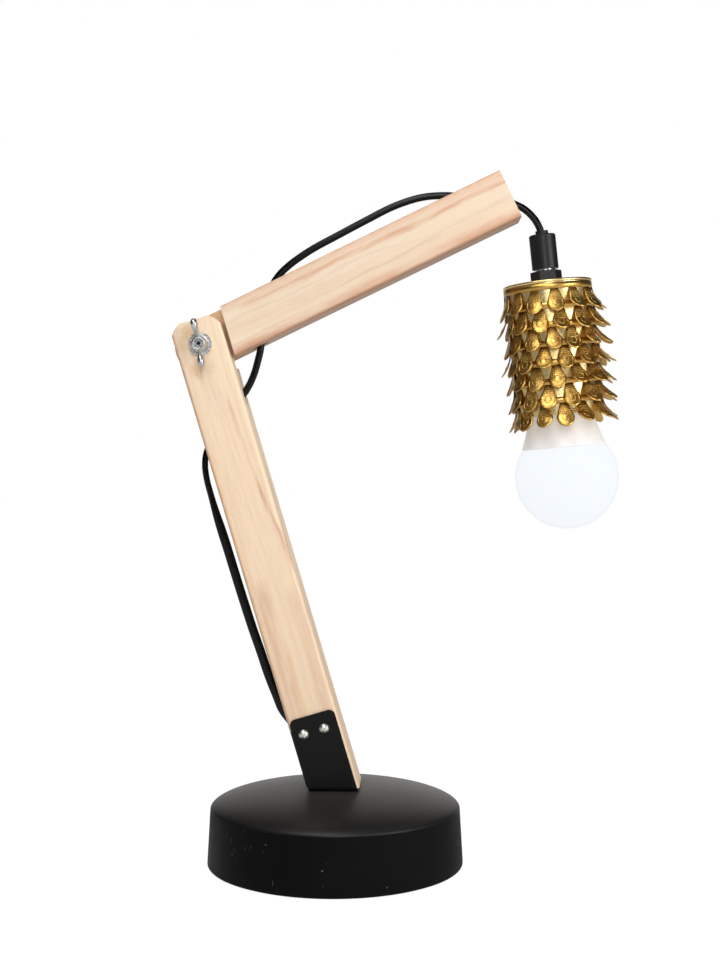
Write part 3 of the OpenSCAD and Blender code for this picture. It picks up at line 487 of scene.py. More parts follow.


# the arms' timber: stains and one painted shadow are (x, z, radius, strength) on the front face, streaks are
# (x, slope, low, high, width, strength, tint), in mm from the elbow with z along the arm
rosy, tan, brown = (0.6, 0.34, 0.22, 1), (0.76, 0.48, 0.24, 1), (0.52, 0.31, 0.19, 1)
woodSettings = {
    "half": (0.01475, 0.015), "edge": (0.0026, 0.0004), "front": (-0.0135, -0.0149), "fade": 15, "slant": 0.5,
    "wander": 0.008, "seatEdge": (-0.0132, -0.014), "lapFront": (-0.0146, -0.0135), "lapBack": (0.009, 0.003),
    "edgeTint": (0.58, 0.32, 0.21, 1), "stainAndShadow": (0.58, 0.33, 0.14, 1), "shaded": (0.36, 0.165, 0.095, 1),
    "painted": (0.012, 0.012, 0.0125, 1), "rawAndShade": (0.6, 0.35, 0.15, 1),
}
armSettings = {
    "lowerTimber": {
        "turn": elbowFrame["lowerLean"], "pale": (0.83, 0.64, 0.455), "bothEdges": False, "seat": -230,
        # the last stain, just below the wing nut, is a painted shadow of its lower wing
        "stainsAndShadow": ((-5.6, 9.6, 5, 0.45), (-9.5, 2.5, 5, 0.25), (-6.1, -13.4, 5.5, 0.5), (2, -15.5, 4, 0.2)),
        "streaks": (
            (11.7, -0.116, -138, -94, 2.2, 0.9, rosy), (7.8, -0.061, -94, -42, 1.6, 0.4, brown),
            (-12.5, 0, -190, -70, 3, 0.45, tan), (-8, 0, -240, -150, 9, 0.6, rosy),
            (-2, -0.05, -250, -190, 1.4, 0.55, tan), (10, 0, -290, -160, 7, 0.4, rosy)),
    },
    "upperTimber": {
        # this arm's pale is darker than the lower arm's: painted shade against the top lamp's stronger light on it
        "turn": elbowFrame["upperRise"] - 90, "pale": (0.735, 0.6, 0.45), "bothEdges": True, "gap": 22,
        "under": 14.6, "stainsAndShadow": (),
        "streaks": (
            (-8.2, 0, 40, 205, 2.8, 0.95, rosy), (-13, 0, 20, 205, 5, 0.35, rosy), (14, 0, 20, 205, 6.5, 1, rosy),
            (-3.5, 0.02, 25, 120, 1.6, 0.3, brown), (4, -0.03, 60, 190, 1.6, 0.28, brown)),
    },
}


def addStreaks(g, local, xyz, color, streaks, s):
    wander = g.noise(g.mapping(local, scale=(1, 1, 0.25)), 80, 4, 0.65)
    wander = g.times(g.minus(wander, 0.5), s["wander"])
    patchy = g.remap(g.noise(g.mapping(local, scale=(1, 1, 0.12)), 210, 3, 0.6), 0.35, 0.6, 0.35, 1)
    for sx, slope, low, high, width, strength, tint in streaks:
        # sx is the streak's place on the front face, halfway along it; it slants through the depth
        middle = g.plus(sx * mm, g.times(g.minus(xyz[2], (low + high) / 2 * mm), slope))
        middle = g.plus(middle, g.times(g.plus(xyz[1], s["half"][1]), s["slant"]))
        off = g.size(g.plus(g.minus(xyz[0], middle), wander))
        band = g.times(g.remap(off, width * mm, 0), patchy)
        ends = g.times(g.remap(xyz[2], (low - s["fade"]) * mm, low * mm),
                       g.remap(xyz[2], (high + s["fade"]) * mm, high * mm))
        color = g.mix(g.times(band, ends, strength), color, tint)
    return color


def addStainsAndShadow(g, local, xyz, color, stainsAndShadow, s):
    # stains on the wood, and the painted shadow among them
    for sx, sz, radius, strength in stainsAndShadow:
        dist = g.span(g.minus(xyz[0], sx * mm), g.times(g.minus(xyz[2], sz * mm), 0.8))
        dist = g.plus(dist, g.times(g.minus(g.noise(local, 240, 3), 0.5), 0.006))
        spot = g.times(g.remap(dist, radius * mm, radius * 0.3 * mm), g.remap(xyz[1], *s["front"]))
        color = g.mix(g.times(spot, strength), color, s["stainAndShadow"])
    return color


def timber(name, arm, s):
    g, spot = newMaterial(name, Specular_IOR_Level=0.3)
    local = g.mapping(g.mapping(spot, place=toElbow), turn=(0, radians(arm["turn"]), 0))
    wood = useGroup(g, grainGroup, local, Pale=(*arm["pale"], 1))
    xyz = g.axes(local)
    across = g.size(xyz[0]) if arm["bothEdges"] else g.times(xyz[0], -1)
    # the rounded long edges are painted darker and rosier
    edges = [g.remap(place, half - s["edge"][0], half - s["edge"][1])
             for place, half in zip((across, g.size(xyz[1])), s["half"])]
    edgeTint = g.times(*edges, g.remap(g.noise(local, 160, 3), 0.3, 0.6, 0.3, 0.8))
    color = g.mix(edgeTint, wood["Color"], s["edgeTint"])
    color = addStreaks(g, local, xyz, color, arm["streaks"], s)
    color = addStainsAndShadow(g, local, xyz, color, arm["stainsAndShadow"], s)
    if "under" in arm:
        # the lower face is darker: painted shade
        low = arm["under"]
        color = g.mix(g.remap(xyz[0], (low - 0.8) * mm, low * mm, 0, 0.5), color, s["shaded"])
    if "seat" in arm:
        # the left edge below the bracket's top is painted near black
        inSeat = g.remap(xyz[2], (arm["seat"] + 1) * mm, (arm["seat"] - 1) * mm)
        color = g.mix(g.times(inSeat, g.remap(xyz[0], *s["seatEdge"])), color, s["painted"])
    if "gap" in arm:
        # the inside of the lap and its shoulder are warmer than the planed faces: raw wood, and painted warm shade of
        # the gap between the arms
        rawAndShade = g.remap(xyz[2], (arm["gap"] + 2) * mm, (arm["gap"] - 2) * mm)
        rawAndShade = g.times(rawAndShade, g.remap(xyz[1], *s["lapFront"]), g.remap(xyz[1], *s["lapBack"], 0, 0.6))
        color = g.mix(rawAndShade, color, s["rawAndShade"])
    g.feedShader(color, wood["Roughness"], g.bump(wood["Height"], 0.3, 0.0003))


for name, arm in armSettings.items():
    timber(name, arm, woodSettings)


cordFinish = {"shine": 0.22, "rough": (0.16, 0.24), "deep": (0.0012, 0.0012, 0.0013, 1),
              "smeared": (0.003, 0.003, 0.0032, 1)}
strapFinish = {"warp": 9000, "weft": 7000, "deep": (0.005, 0.005, 0.0055, 1), "thread": (0.022, 0.022, 0.024, 1)}


def makeCordMaterial(s):
    # glossy jacket with faint lengthwise drawing lines, along the cord's own UV
    g, spot = newMaterial("cordJacket", Specular_IOR_Level=s["shine"])
    uv = spot.node.outputs["UV"]
    lines = g.noise(g.mapping(uv, scale=(30, 8, 1)), 3, 2)
    smear = g.noise(g.mapping(uv, scale=(2, 90, 1)), 2, 3)
    tone = g.mix(g.remap(smear, 0.35, 0.7, 0, 0.4), s["deep"], s["smeared"])
    g.feedShader(tone, g.remap(smear, 0.3, 0.7, *s["rough"]), g.bump(lines, 0.05))


def makeStrapMaterial(s):
    # fine woven rows across the strap
    g, spot = newMaterial("strapWeave")
    xyz = g.axes(spot)
    warp = g.calc("SINE", g.times(xyz[1], s["warp"]))
    weft = g.calc("SINE", g.times(g.plus(xyz[0], xyz[2]), s["weft"]))
    weave = g.times(warp, weft)
    tone = g.mix(g.remap(weave, -0.6, 0.8), s["deep"], s["thread"])
    g.feedShader(tone, g.remap(weave, -1, 1, 0.75, 0.6), g.bump(weave, 0.4))


makeCordMaterial(cordFinish)
makeStrapMaterial(strapFinish)
print("materials ready:", len(materials))


def paint(obj, key):
    obj.data.materials.clear()
    obj.data.materials.append(materials[key])


def finishPiece(obj, key, carrier, node):
    # carrier is a body, or two bodies and the points between which a cord bends
    paint(obj, key)
    if isinstance(carrier, str):
        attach(obj, carrier)
    else:
        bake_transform(obj)
    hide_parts(node)
    return obj


# cord along the lamp and the lead behind it, in mm, on the same routes as the solids
cordSettings = {
    "width": 5.4, "thick": 3.7, "lead": 4.2, "step": 3, "flat": (0.17, 0.12),
    "head": [(119.22, 0, 372.04), (116.18, 0, 377.64), (111.8, 0, 382.26), (108.29, 0, 384.702),
        (106.751, 0, 385.416), (105.3, 0, 386.09)],
    "gripTop": 30.5, "inGrip": (9, 5),
    "upper": [(105.3, 0, 386.09), (104.1, 0, 386.647), (102.93, 0, 387.19), (100.3, 0, 388.2), (97, 0, 388.95),
        (92, 0, 389.5), (84, 0, 390), (75, 0, 390.7),
        (66, 0, 391.6), (51, 0, 390.7), (35, 0, 385.8), (18, 0, 377.4), (2, 0, 369), (-14.5, 0, 360.1),
        (-27, 0, 351.4), (-33, 0, 345.5), (-36.8, 0, 339.5), (-38.9, 0, 331), (-40.9, 0, 320.5),
        (-42.3, 0, 312), (-43.2, 0, 306)],
    "elbow": [(-43.2, 0, 306), (-43.95, 0, 301), (-45.2, 0, 296), (-47, 0, 289.5), (-49.6, 0, 283), (-53, 0, 277)],
    "lower": [(-53, 0, 277), (-56, 0, 271.706), (-64, 0, 260.5), (-70.3, 0, 251.5), (-75, 0, 244), (-76.5, 0, 236),
        (-75.6, 0, 227), (-73, 0, 217), (-70, 0, 206.5), (-63.8, 0, 187), (-55.8, 0, 161), (-48.6, 0, 138.6),
        (-44.2, 0, 126), (-38.8, 0, 110), (-34.2, 0, 98.5), (-31.4, 0, 91.5), (-28.4, 0, 87.2), (-25, 0, 83.2),
        (-19.5, 0, 77.5), (-10.8, 0, 68.6), (-2.8, 0, 60.2), (-0.4, 0, 53), (0, 0, 46), (0, 0, 29),
        (1.5, 1.7, 20), (6.7, 7.4, 12.5), (16, 17.8, 9.3), (30, 33.3, 9), (46.3, 51.43, 9)],
    "reliefEnd": (65.9, 73.2, 9), "exitDir": (0.6691, 0.7431, 0),
    "near": [(71, 80.5, 7.6), (73, 88, 6), (70, 97, 5), (62.5, 104, 5.5), (53.2, 106.5, 7), (49, 106.5, 7)],
    "far": [(-1, 106.5, 7), (-5.2, 106.5, 7), (-9, 108, 5.8), (-14, 112, 4.8), (-18.5, 118.5, 4.2),
        (-23.5, 124.5, 3.8), (-30, 127.8, 3.5)],
    "tail": [(-15.6, 112, 17), (-14.6, 118, 15), (-11.5, 125, 12), (-6.5, 130.3, 9.4), (-1, 133, 7.6),
        (1.8, 134, 6.85), (6, 134, 6.85)],
    "coilMid": (-44, 100), "coilR": 23, "coilTurns": 8.75, "coilLayers": 4, "coilPitch": 4.75, "coilZ": 3.4,
    "coilClimb": 0.5, "perTurn": 36,
}


def coilRoute(s):
    perLayer = s["coilTurns"] / s["coilLayers"]
    outer = s["coilR"] + perLayer * s["coilPitch"] / 2
    inner = s["coilR"] - perLayer * s["coilPitch"] / 2
    cx, cy = s["coilMid"]
    line = [Vector((cx + s["lead"], cy + outer, s["coilZ"]))]
    for i in range(int(s["coilTurns"] * s["perTurn"]) + 1):
        turn = i / s["perTurn"]
        layer = turn / perLayer
        part = layer - floor(layer)
        inward = part if floor(layer) % 2 == 0 else 1 - part
        r = outer if layer >= s["coilLayers"] - 1e-9 else outer - (outer - inner) * inward
        climb = sum(ease((turn - k * perLayer) / s["coilClimb"] + 0.5) for k in range(1, s["coilLayers"]))
        a = radians(90 + 360 * turn)
        z = s["coilZ"] + s["coilPitch"] * climb
        line.append(Vector((cx + r * cos(a), cy + r * sin(a), z)))
    line.append(Vector((cx + outer, cy + s["lead"], line[-1].z)))
    return line


def makeCord(name, node, carrier, line, size, up, flat=(1, 1), lay="loose", farEnd="object", pieces=()):
    obj = finishPiece(sweepTube(name, line, size, up, flat), "cordJacket", carrier, node)
    print("cord", name, round(routeLength(line), 1), "mm")


def makeCords(s, strap, plug):
    d, step = s["lead"], s["step"]
    lean = radians(headFrame["lean"])
    axis = Vector((-sin(lean), 0, cos(lean)))
    top = Vector((headFrame["x"], 0, headFrame["z"])) + axis * s["gripTop"]
    sideways, upright = (0, 1, 0), (0, 0, 1)

    def onLamp(name, node, carrier, points, size=(d, d), **more):
        makeCord(name, node, carrier, smoothRoute(points, step), size, sideways, **more)

    def onFloor(name, node, line, **more):
        makeCord(name, node, "stand", line, (d, d), upright, **more)

    bendTop, bendElbow = (top, s["head"][-1]), (s["elbow"][0], s["elbow"][-1])
    inGrip = [top - axis * depth for depth in s["inGrip"]]
    onLamp("cordHead", "cord_head", ("lamp_head", "swing_arm", *bendTop), inGrip + s["head"], lay="hanging")
    onLamp("cordUpper", "cord_upper", "swing_arm", s["upper"])
    onLamp("cordElbow", "cord_elbow", ("swing_arm", "stand", *bendElbow), s["elbow"])
    onLamp("cordLower", "cord_lower", "stand", s["lower"], size=(s["width"], s["thick"]), flat=s["flat"])
    exitEnd = Vector(s["reliefEnd"])
    onFloor("leadNear", "lead_near", smoothRoute([exitEnd, exitEnd + Vector(s["exitDir"]) * d] + s["near"], step))
    coil = coilRoute(s)
    onFloor("leadFar", "lead_far", smoothRoute(s["far"] + [coil[0] + Vector((d, 0, 0)), coil[0]], step))
    onFloor("leadCoil", "lead_coil", coil, lay="coiled", pieces=[strap])
    tail = smoothRoute([coil[-1], coil[-1] + Vector((0, d, 0))] + s["tail"], step)
    onFloor("leadTail", "lead_tail", tail, farEnd="plug", pieces=[plug, nodes["plug_pins"]])


# base: one spun shell with a soft shoulder
baseSettings = {"radius": 75, "draft": 1.8, "wallHeight": 33.7, "height": 46, "seat": 22, "fullness": 1.6,
                "wall": 2.5, "lift": 0.8, "bore": 5.05, "foot": 1.6, "domeSteps": 48, "footSteps": 6}


def makeBase(s):
    rim = s["radius"] - s["draft"]
    rise = (s["height"] - s["wallHeight"]) / sqrt(1 - (s["seat"] / rim) ** s["fullness"])

    def dome(inset):
        line = []
        for i in range(s["domeSteps"] + 1):
            r = s["seat"] + (rim - inset - s["seat"]) * cos(pi / 2 * i / s["domeSteps"])
            z = s["wallHeight"] - inset + rise * sqrt(max(0, 1 - (r / (rim - inset)) ** s["fullness"]))
            line.append((r, min(z, s["height"] - inset)))
        return line

    low, foot = s["lift"], s["foot"]
    profile = [(s["radius"] - s["wall"], low)]
    for k in range(s["footSteps"] + 1):
        a = pi / 2 * k / s["footSteps"]
        profile.append((s["radius"] - foot + foot * sin(a), low + foot - foot * cos(a)))
    for u in (0.25, 0.5, 0.75):
        profile.append((s["radius"] - s["draft"] * u, low + foot + (s["wallHeight"] - low - foot) * u))
    profile += dome(0) + [(s["bore"], s["height"]), (s["bore"], s["height"] - s["wall"])] + dome(s["wall"])[::-1]
    obj = lathe("baseShell", profile, Matrix.Identity(4), turns=160, sharp=50)
    finishPiece(obj, "powderBlack", "stand", "base_shell")


makeBase(baseSettings)
print("base made")


# bulb: opal globe and moulded neck; lip is the neck's lower edge as (inset, height)
bulbSettings = {"globe": 30, "joint": 17.7, "middle": -113.3, "neckTop": 56, "neckR": 14.2, "globeSteps": 48,
                "neckSteps": 24, "lip": [(0.6, 0), (0.15, 0.35), (0.2, 1)], "seal": 1.5, "taper": 1.55,
                "belly": 2.2, "topInset": 0.8}


def makeBulb(s):
    matrix = headMatrix @ moved(0, 0, s["middle"])
    globeR, joint, neckR = s["globe"], s["joint"], s["neckR"]
    jointAngle = asin(joint / globeR)
    globeLine = [(0, -globeR)]
    for i in range(1, s["globeSteps"] + 1):
        a = -pi / 2 + (pi / 2 + jointAngle) * i / s["globeSteps"]
        globeLine.append((globeR * cos(a), globeR * sin(a)))
    jointR = globeR * cos(jointAngle)
    globeLine += [(jointR - s["seal"], joint), (0, joint)]
    globe = lathe("bulbGlobe", globeLine, matrix, turns=128)
    neckLine = [(0, joint)] + [(jointR - inset, joint + up) for inset, up in s["lip"]]
    startR, start = neckLine[-1]
    for i in range(1, s["neckSteps"] + 1):
        u = i / s["neckSteps"]
        r = neckR + (startR - neckR) * (1 - u) ** s["taper"] + s["belly"] * u * (1 - u)
        neckLine.append((r, start + (s["neckTop"] - start) * u))
    neckLine += [(neckR - s["topInset"], s["neckTop"]), (0, s["neckTop"])]
    neck = lathe("bulbNeck", neckLine, matrix, turns=128)
    finishPiece(globe, "bulbOpal", "bulb", "bulb_globe")
    finishPiece(neck, "bulbWhite", "bulb", "bulb_neck")


opalFinish = {"glow": 0.94, "deep": (0.05, 0.052, 0.054, 1), "milky": (0.06, 0.062, 0.064, 1),
              "lit": (0.93, 0.965, 1, 1), "rim": (0.86, 0.9, 0.95, 1)}
neckFinish = {"glow": 0.36, "lit": (1, 0.95, 0.9, 1), "deep": (0.5, 0.495, 0.49, 1), "pale": (0.52, 0.515, 0.51, 1),
              "warm": (0.42, 0.3, 0.2, 1), "brassBounceRise": (-0.096, -0.076)}


def makeOpal(s):
    # opal glass, a little dimmer towards its outline
    g, spot = newMaterial("bulbOpal", Emission_Strength=s["glow"], Specular_IOR_Level=0)
    soft = g.noise(spot, 60, 2)
    tone = g.mix(g.remap(soft, 0.3, 0.7, 0, 0.5), s["deep"], s["milky"])
    g.feedShader(tone, g.remap(soft, 0.3, 0.7, 0.42, 0.5))
    rim = g.remap(g.add("ShaderNodeLayerWeight").outputs["Facing"], 0.6, 1)
    g.join(g.mix(rim, s["lit"], s["rim"]), g.shader.inputs["Emission Color"])


def makeNeckWhite(s):
    # the collar glows a little, painted light that lifts its shaded side, and is warmer towards the brass shade, a
    # painted warm bounce from the brass
    g, spot = newMaterial("bulbWhite", Emission_Strength=s["glow"], Emission_Color=s["lit"])
    soft = g.noise(spot, 70, 3)
    tone = g.mix(g.remap(soft, 0.3, 0.7), s["deep"], s["pale"])
    offHead = g.mapping(spot, place=toHead)
    drop = g.axes(g.mapping(offHead, turn=(0, radians(headFrame["lean"]), 0)))[2]
    tone = g.mix(g.remap(drop, *s["brassBounceRise"], 0, 0.7), tone, s["warm"])
    skin = g.noise(spot, 1400, 2)
    g.feedShader(tone, g.remap(soft, 0.3, 0.7, 0.36, 0.46), g.bump(skin, 0.04))


makeOpal(opalFinish)
makeNeckWhite(neckFinish)
makeBulb(bulbSettings)
print("bulb made")


# shade: cup and rings of embossed petals, in mm and degrees
petalSettings = {
    "turns": (2.9, 7.9, -5.5, 8.3, -4.9, 9.5, 0), "count": 14, "first": 2.2, "pitch": 10.8, "band": 3.5, "cup": 25.05,
    "length": 12.8, "neck": 4.6, "width": 10.2, "flare": 7, "sheet": 0.6, "tilt": 8, "twist": 8, "lean": 8,
    "seed": 11, "across": 8, "along": 12, "closer": 0.85, "tip": 0.25, "bulge": 1.15, "bend": 1.6,
    "curl": 0.5, "curlMore": 0.6, "boss": 0.55, "bossR": 1.15, "bossUp": 0.95,
}
embossSettings = {
    "beads": (1.15, 0.95), "beadR": (0.42, 0.12), "beadsFrom": (6.2, 7), "middle": 4.85, "rim": 4.1,
    "rimHalf": (0.42, 0.08), "rimTo": (7, 5.6), "ring": 1.75, "ringHalf": (0.34, 0.06), "rootShade": (8.6, 11.8),
    "hollow": (0.22, 0.08, 0.008, 1), "dull": (0.26, 0.105, 0.012, 1), "root": (0.1, 0.035, 0.004, 1),
    "shadedSide": (0.13, 0.045, 0.006, 1), "shadedSideSpan": (-0.004, -0.024),
}


def makePetalMesh(s):
    # one petal with its neck at the origin, hanging down -Z and flaring towards -Y
    across, along, length = s["across"], s["along"], s["length"]
    verts, faces, uvs = [], [], []
    endR, neckHalf = s["width"] / 2, s["neck"] / 2
    for j in range(along + 1):
        v = (j / along) ** s["closer"]
        drop = length * v
        low = length - drop
        if low < endR:
            half = max(sqrt(max(0, endR ** 2 - (endR - low) ** 2)), s["tip"])
        else:
            half = neckHalf + (endR - neckHalf) * min(1, drop / (length - endR)) ** s["bulge"]
        for i in range(across + 1):
            x = half * (2 * i / across - 1)
            out = s["flare"] * (drop / length) ** s["bend"]
            curl = s["curl"] * (x / endR) ** 2 * (1 + s["curlMore"] * v)
            dist = hypot(x, low - endR * s["bossUp"])
            boss = s["boss"] * exp(-(dist / s["bossR"]) ** 2)
            verts.append((x * mm, -(out - curl + boss + s["sheet"]) * mm, -drop * mm))
            uvs.append((0.5 + x / s["width"], low / length))
    for j in range(along):
        for i in range(across):
            a = j * (across + 1) + i
            faces.append([a, a + across + 1, a + across + 2, a + 1])
    mesh = bpy.data.meshes.new("petalSheet")
    mesh.from_pydata(verts, [], faces)
    setUv(mesh, uvs)
    mesh.shade_smooth()
    return mesh


def makePetalTree(material):
    tree = bpy.data.node_groups.new("petalRing", "GeometryNodeTree")
    face = tree.interface
    face.new_socket("Petal", in_out="INPUT", socket_type="NodeSocketGeometry")
    sizes = {"Count": 16, "Radius": 0.025, "Turn": 0.0, "Tilt": 0.1, "Twist": 0.1, "Lean": 0.1, "Seed": 1}
    for label, value in sizes.items():
        kind = "NodeSocketInt" if isinstance(value, int) else "NodeSocketFloat"
        face.new_socket(label, in_out="INPUT", socket_type=kind).default_value = value
    face.new_socket("Ring", in_out="OUTPUT", socket_type="NodeSocketGeometry")
    g = Graph(tree)
    inp = g.add("NodeGroupInput").outputs

    def spread(amount, shift):
        feeds = {2: g.times(amount, -1), 3: amount, "Seed": g.plus(inp["Seed"], shift)}
        return g.add("FunctionNodeRandomValue", feeds).outputs[1]

    circle = g.add("GeometryNodeMeshCircle", {"Vertices": inp["Count"], "Radius": inp["Radius"]})
    index = g.add("GeometryNodeInputIndex").outputs[0]
    angle = g.plus(g.times(g.calc("DIVIDE", index, inp["Count"]), 2 * pi), pi / 2)
    side = g.calc("COSINE", g.plus(g.minus(angle, pi / 2), inp["Turn"]))
    euler = g.add("ShaderNodeCombineXYZ", {
        0: g.minus(spread(inp["Tilt"], 0), g.times(side, inp["Lean"])),
        1: spread(inp["Twist"], 17),
        2: g.plus(angle, g.times(spread(inp["Twist"], 31), 0.6))})
    turn = g.add("FunctionNodeEulerToRotation", {0: euler.outputs[0]})
    place = g.add("GeometryNodeInstanceOnPoints", {
        "Points": circle.outputs[0], "Instance": inp["Petal"], "Rotation": turn.outputs[0]})
    tone = g.add("GeometryNodeStoreNamedAttribute", {
        "Geometry": place.outputs[0], "Name": "petalTone", "Value": spread(1, 53)}, domain="INSTANCE")
    about = g.add("ShaderNodeCombineXYZ", {2: inp["Turn"]})
    spin = g.add("GeometryNodeTransform", {"Geometry": tone.outputs[0], "Rotation": about.outputs[0]})
    real = g.add("GeometryNodeRealizeInstances", {0: spin.outputs[0]})
    dress = g.add("GeometryNodeSetMaterial", {"Geometry": real.outputs[0], "Material": material})
    g.join(dress.outputs[0], g.add("NodeGroupOutput").inputs[0])
    return tree


def makePetalMaterial(petal, s):
    # rows of fine beads on the upper part, a rim line and a ring round the boss, on the petal's own UV
    g, spot = newMaterial("petalGold", Metallic=1)
    tone = g.add("ShaderNodeAttribute", attribute_name="petalTone").outputs["Fac"]
    gold = useGroup(g, goldGroup, spot, Tarnish=0.32, Rough=0.24)
    uv = g.axes(spot.node.outputs["UV"])
    x = g.times(g.minus(uv[0], 0.5), petal["width"])
    y = g.times(uv[1], petal["length"])
    cell = [g.minus(g.calc("FRACT", g.times(place, count)), 0.5) for place, count in zip((x, y), s["beads"])]
    beads = g.times(g.remap(g.span(*cell), *s["beadR"]), g.remap(y, *s["beadsFrom"]))
    toBoss = g.span(x, g.minus(y, s["middle"]))
    rim = g.times(g.remap(g.size(g.minus(toBoss, s["rim"])), *s["rimHalf"]), g.remap(y, *s["rimTo"]))
    ring = g.remap(g.size(g.minus(toBoss, s["ring"])), *s["ringHalf"])
    raised = g.most(beads, rim, ring)
    color = g.mix(g.times(g.minus(1, raised), 0.3), gold["Color"], s["hollow"])
    color = g.mix(g.remap(tone, -1, 1, 0, 0.32, kind="LINEAR"), color, s["dull"])
    # each petal is darker at its root, under the ring above: painted shade
    color = g.mix(g.remap(y, *s["rootShade"], 0, 0.8), color, s["root"])
    # the side towards the arm is darker: painted shade
    sideways = g.axes(g.mapping(spot, place=(toHead[0], 0, 0)))[0]
    color = g.mix(g.remap(sideways, *s["shadedSideSpan"], 0, 0.38), color, s["shadedSide"])
    height = g.plus(raised, g.times(gold["Height"], 0.12))
    g.feedShader(color, gold["Roughness"], g.bump(height, 0.7, 0.0003))


def makeCupMaterial():
    g, spot = newMaterial("cupGold", Metallic=1)
    gold = useGroup(g, goldGroup, spot, Tarnish=0.32, Rough=0.22, Bright=(0.9, 0.72, 0.34, 1))
    g.feedShader(gold["Color"], gold["Roughness"], g.bump(gold["Height"], 0.12, 0.0003))


def addBand(mesh, s, turns=96):
    # the strip that carries a ring's petals
    r = (s["cup"] + s["sheet"]) * mm
    with editing(mesh) as bm:
        rows = [[bm.verts.new(p) for p in roundAbout(r, s["band"] * share * mm, turns)] for share in (0, 0.5, 1)]
        for a, b in zip(rows, rows[1:]):
            for quad in strip(a, b):
                bm.faces.new(quad).smooth = True


def makeShade(s):
    tree = makePetalTree(materials["petalGold"])
    petal = makePetalMesh(s)
    ids = {i.name: i.identifier for i in tree.interface.items_tree if i.in_out == "INPUT"}
    for n, ringTurn in enumerate(s["turns"], 1):
        source = addObject("petalSource", petal)
        mod = source.modifiers.new("ring", "NODES")
        mod.node_group = tree
        mod[ids["Count"]] = s["count"]
        mod[ids["Radius"]] = s["cup"] * mm
        mod[ids["Turn"]] = radians(ringTurn - 90)
        for label in ("Tilt", "Twist", "Lean"):
            mod[ids[label]] = radians(s[label.lower()])
        mod[ids["Seed"]] = s["seed"] * n
        bpy.context.view_layer.update()
        mesh = bpy.data.meshes.new_from_object(source.evaluated_get(bpy.context.evaluated_depsgraph_get()))
        bpy.data.objects.remove(source)
        obj = addObject("petalRing%d" % n, mesh)
        addBand(mesh, s)
        mesh.transform(headMatrix @ moved(0, 0, -(s["first"] + (n - 1) * s["pitch"] + s["band"])))
        mesh.update()
        wall = obj.modifiers.new("sheet", "SOLIDIFY")
        wall.thickness = s["sheet"] * mm
        wall.offset = -1
        finishPiece(obj, "petalGold", "lamp_head", "petal_ring_%d" % n)


makePetalMaterial(petalSettings, embossSettings)
makeCupMaterial()
makeShade(petalSettings)
print("shade made")


# nodes that keep their CAD shape and get a finish
plainFinish = {
    "castIron": ["base_weight"], "softPad": ["base_pad"],
    "screwZinc": ["arm_screws"], "boltZinc": ["elbow_bolt"],
    "zincPlate": ["stem_pipe", "pipe_nuts", "elbow_washers", "nipple", "switch_screws"],
    "mouldedBlack": ["grip_screw", "holder_shell"],
    "cupGold": ["shade_cup", "holder_sleeve", "holder_contact"], "holderWhite": ["holder_core"],
    "nickelPlate": ["bulb_cap", "bulb_contact", "plug_pins"],
}
for key, names in plainFinish.items():
    for name in names:
        paint(nodes[name], key)
print("finishes set")


# wing nut: a spun hub with two cast wings, each row as (out, up, half height, half thickness)
wingSettings = {
    "base": -16.5, "lean": 10.5, "sides": 14, "roundness": 0.8,
    "hub": [(2.6, 0), (5, 0), (5.2, 0.4), (5.15, 1.2), (4.9, 2.8), (4.55, 4.6), (4.2, 5.9), (3.8, 6.6),
            (3.3, 6.95), (2.9, 6.9), (2.6, 6.5)],
    "wing": [(3, 3, 2.2, 1.3), (4.8, 3.8, 2.5, 1.25), (6.8, 5.4, 2.9, 1.35), (8.8, 7.2, 3.4, 1.7),
             (10.6, 8.6, 3.5, 2), (12.2, 9.6, 2.9, 1.95), (13.2, 10.2, 1.8, 1.4), (13.7, 10.5, 0.6, 0.5)],
}


def makeWingNut(s):
    place = elbowMatrix @ moved(0, s["base"], 0) @ turned(90, "X")
    spin = place @ turned(90 + s["lean"], "Z")
    hub = lathe("wingNut", s["hub"], place, turns=64, sharp=60)
    wing = s["wing"]

    def rounded(value):
        return copysign(abs(value) ** s["roundness"], value)

    def addWing(bm, flip):
        rows, faces = [], []
        for i, (u, w, tall, thick) in enumerate(wing):
            before, after = wing[max(i - 1, 0)], wing[min(i + 1, len(wing) - 1)]
            ahead = Vector((after[0] - before[0], after[1] - before[1])).normalized()
            rows.append([])
            for k in range(s["sides"]):
                a = 2 * pi * k / s["sides"]
                c, q = rounded(cos(a)) * tall, rounded(sin(a)) * thick
                point = Vector((flip * (u - ahead.y * c), flip * q, w + ahead.x * c)) * mm
                rows[-1].append(bm.verts.new(spin @ point))
        for a, b in zip(rows, rows[1:]):
            faces += [bm.faces.new(quad) for quad in strip(a, b)]
        faces += [bm.faces.new(rows[0]), bm.faces.new(rows[-1])]
        bmesh.ops.recalc_face_normals(bm, faces=faces)
        for f in faces:
            f.smooth = True

    with editing(hub.data) as bm:
        addWing(bm, 1)
        addWing(bm, -1)
    finishPiece(hub, "zincPlate", "clamp_nut", "wing_nut")


makeWingNut(wingSettings)
print("wing nut made")


# CAD shapes with their hard edges eased: by finish and slot, each node with its body and the width in mm
easeSettings = {
    ("lowerTimber", "pale_wood"): {"lower_arm": ("stand", 0.7)},
    ("upperTimber", "pale_wood"): {"upper_arm": ("swing_arm", 0.7)},
    ("bracketBlack", "powder_black"): {"bracket": ("stand", 0.35)},
    ("mouldedBlack", "black_plastic"): {
        "cord_grip": ("lamp_head", 0.4), "lock_nut": ("lamp_head", 0.5), "switch_base": ("stand", 0.4),
        "switch_cover": ("stand", 0.5), "switch_rocker": ("rocker", 0.4), "plug_body": ("stand", 0.8)},
}
easeLimits = {"merge": 2e-6, "flat": 0.5, "sharp": 38, "cut": 50, "segments": 3}


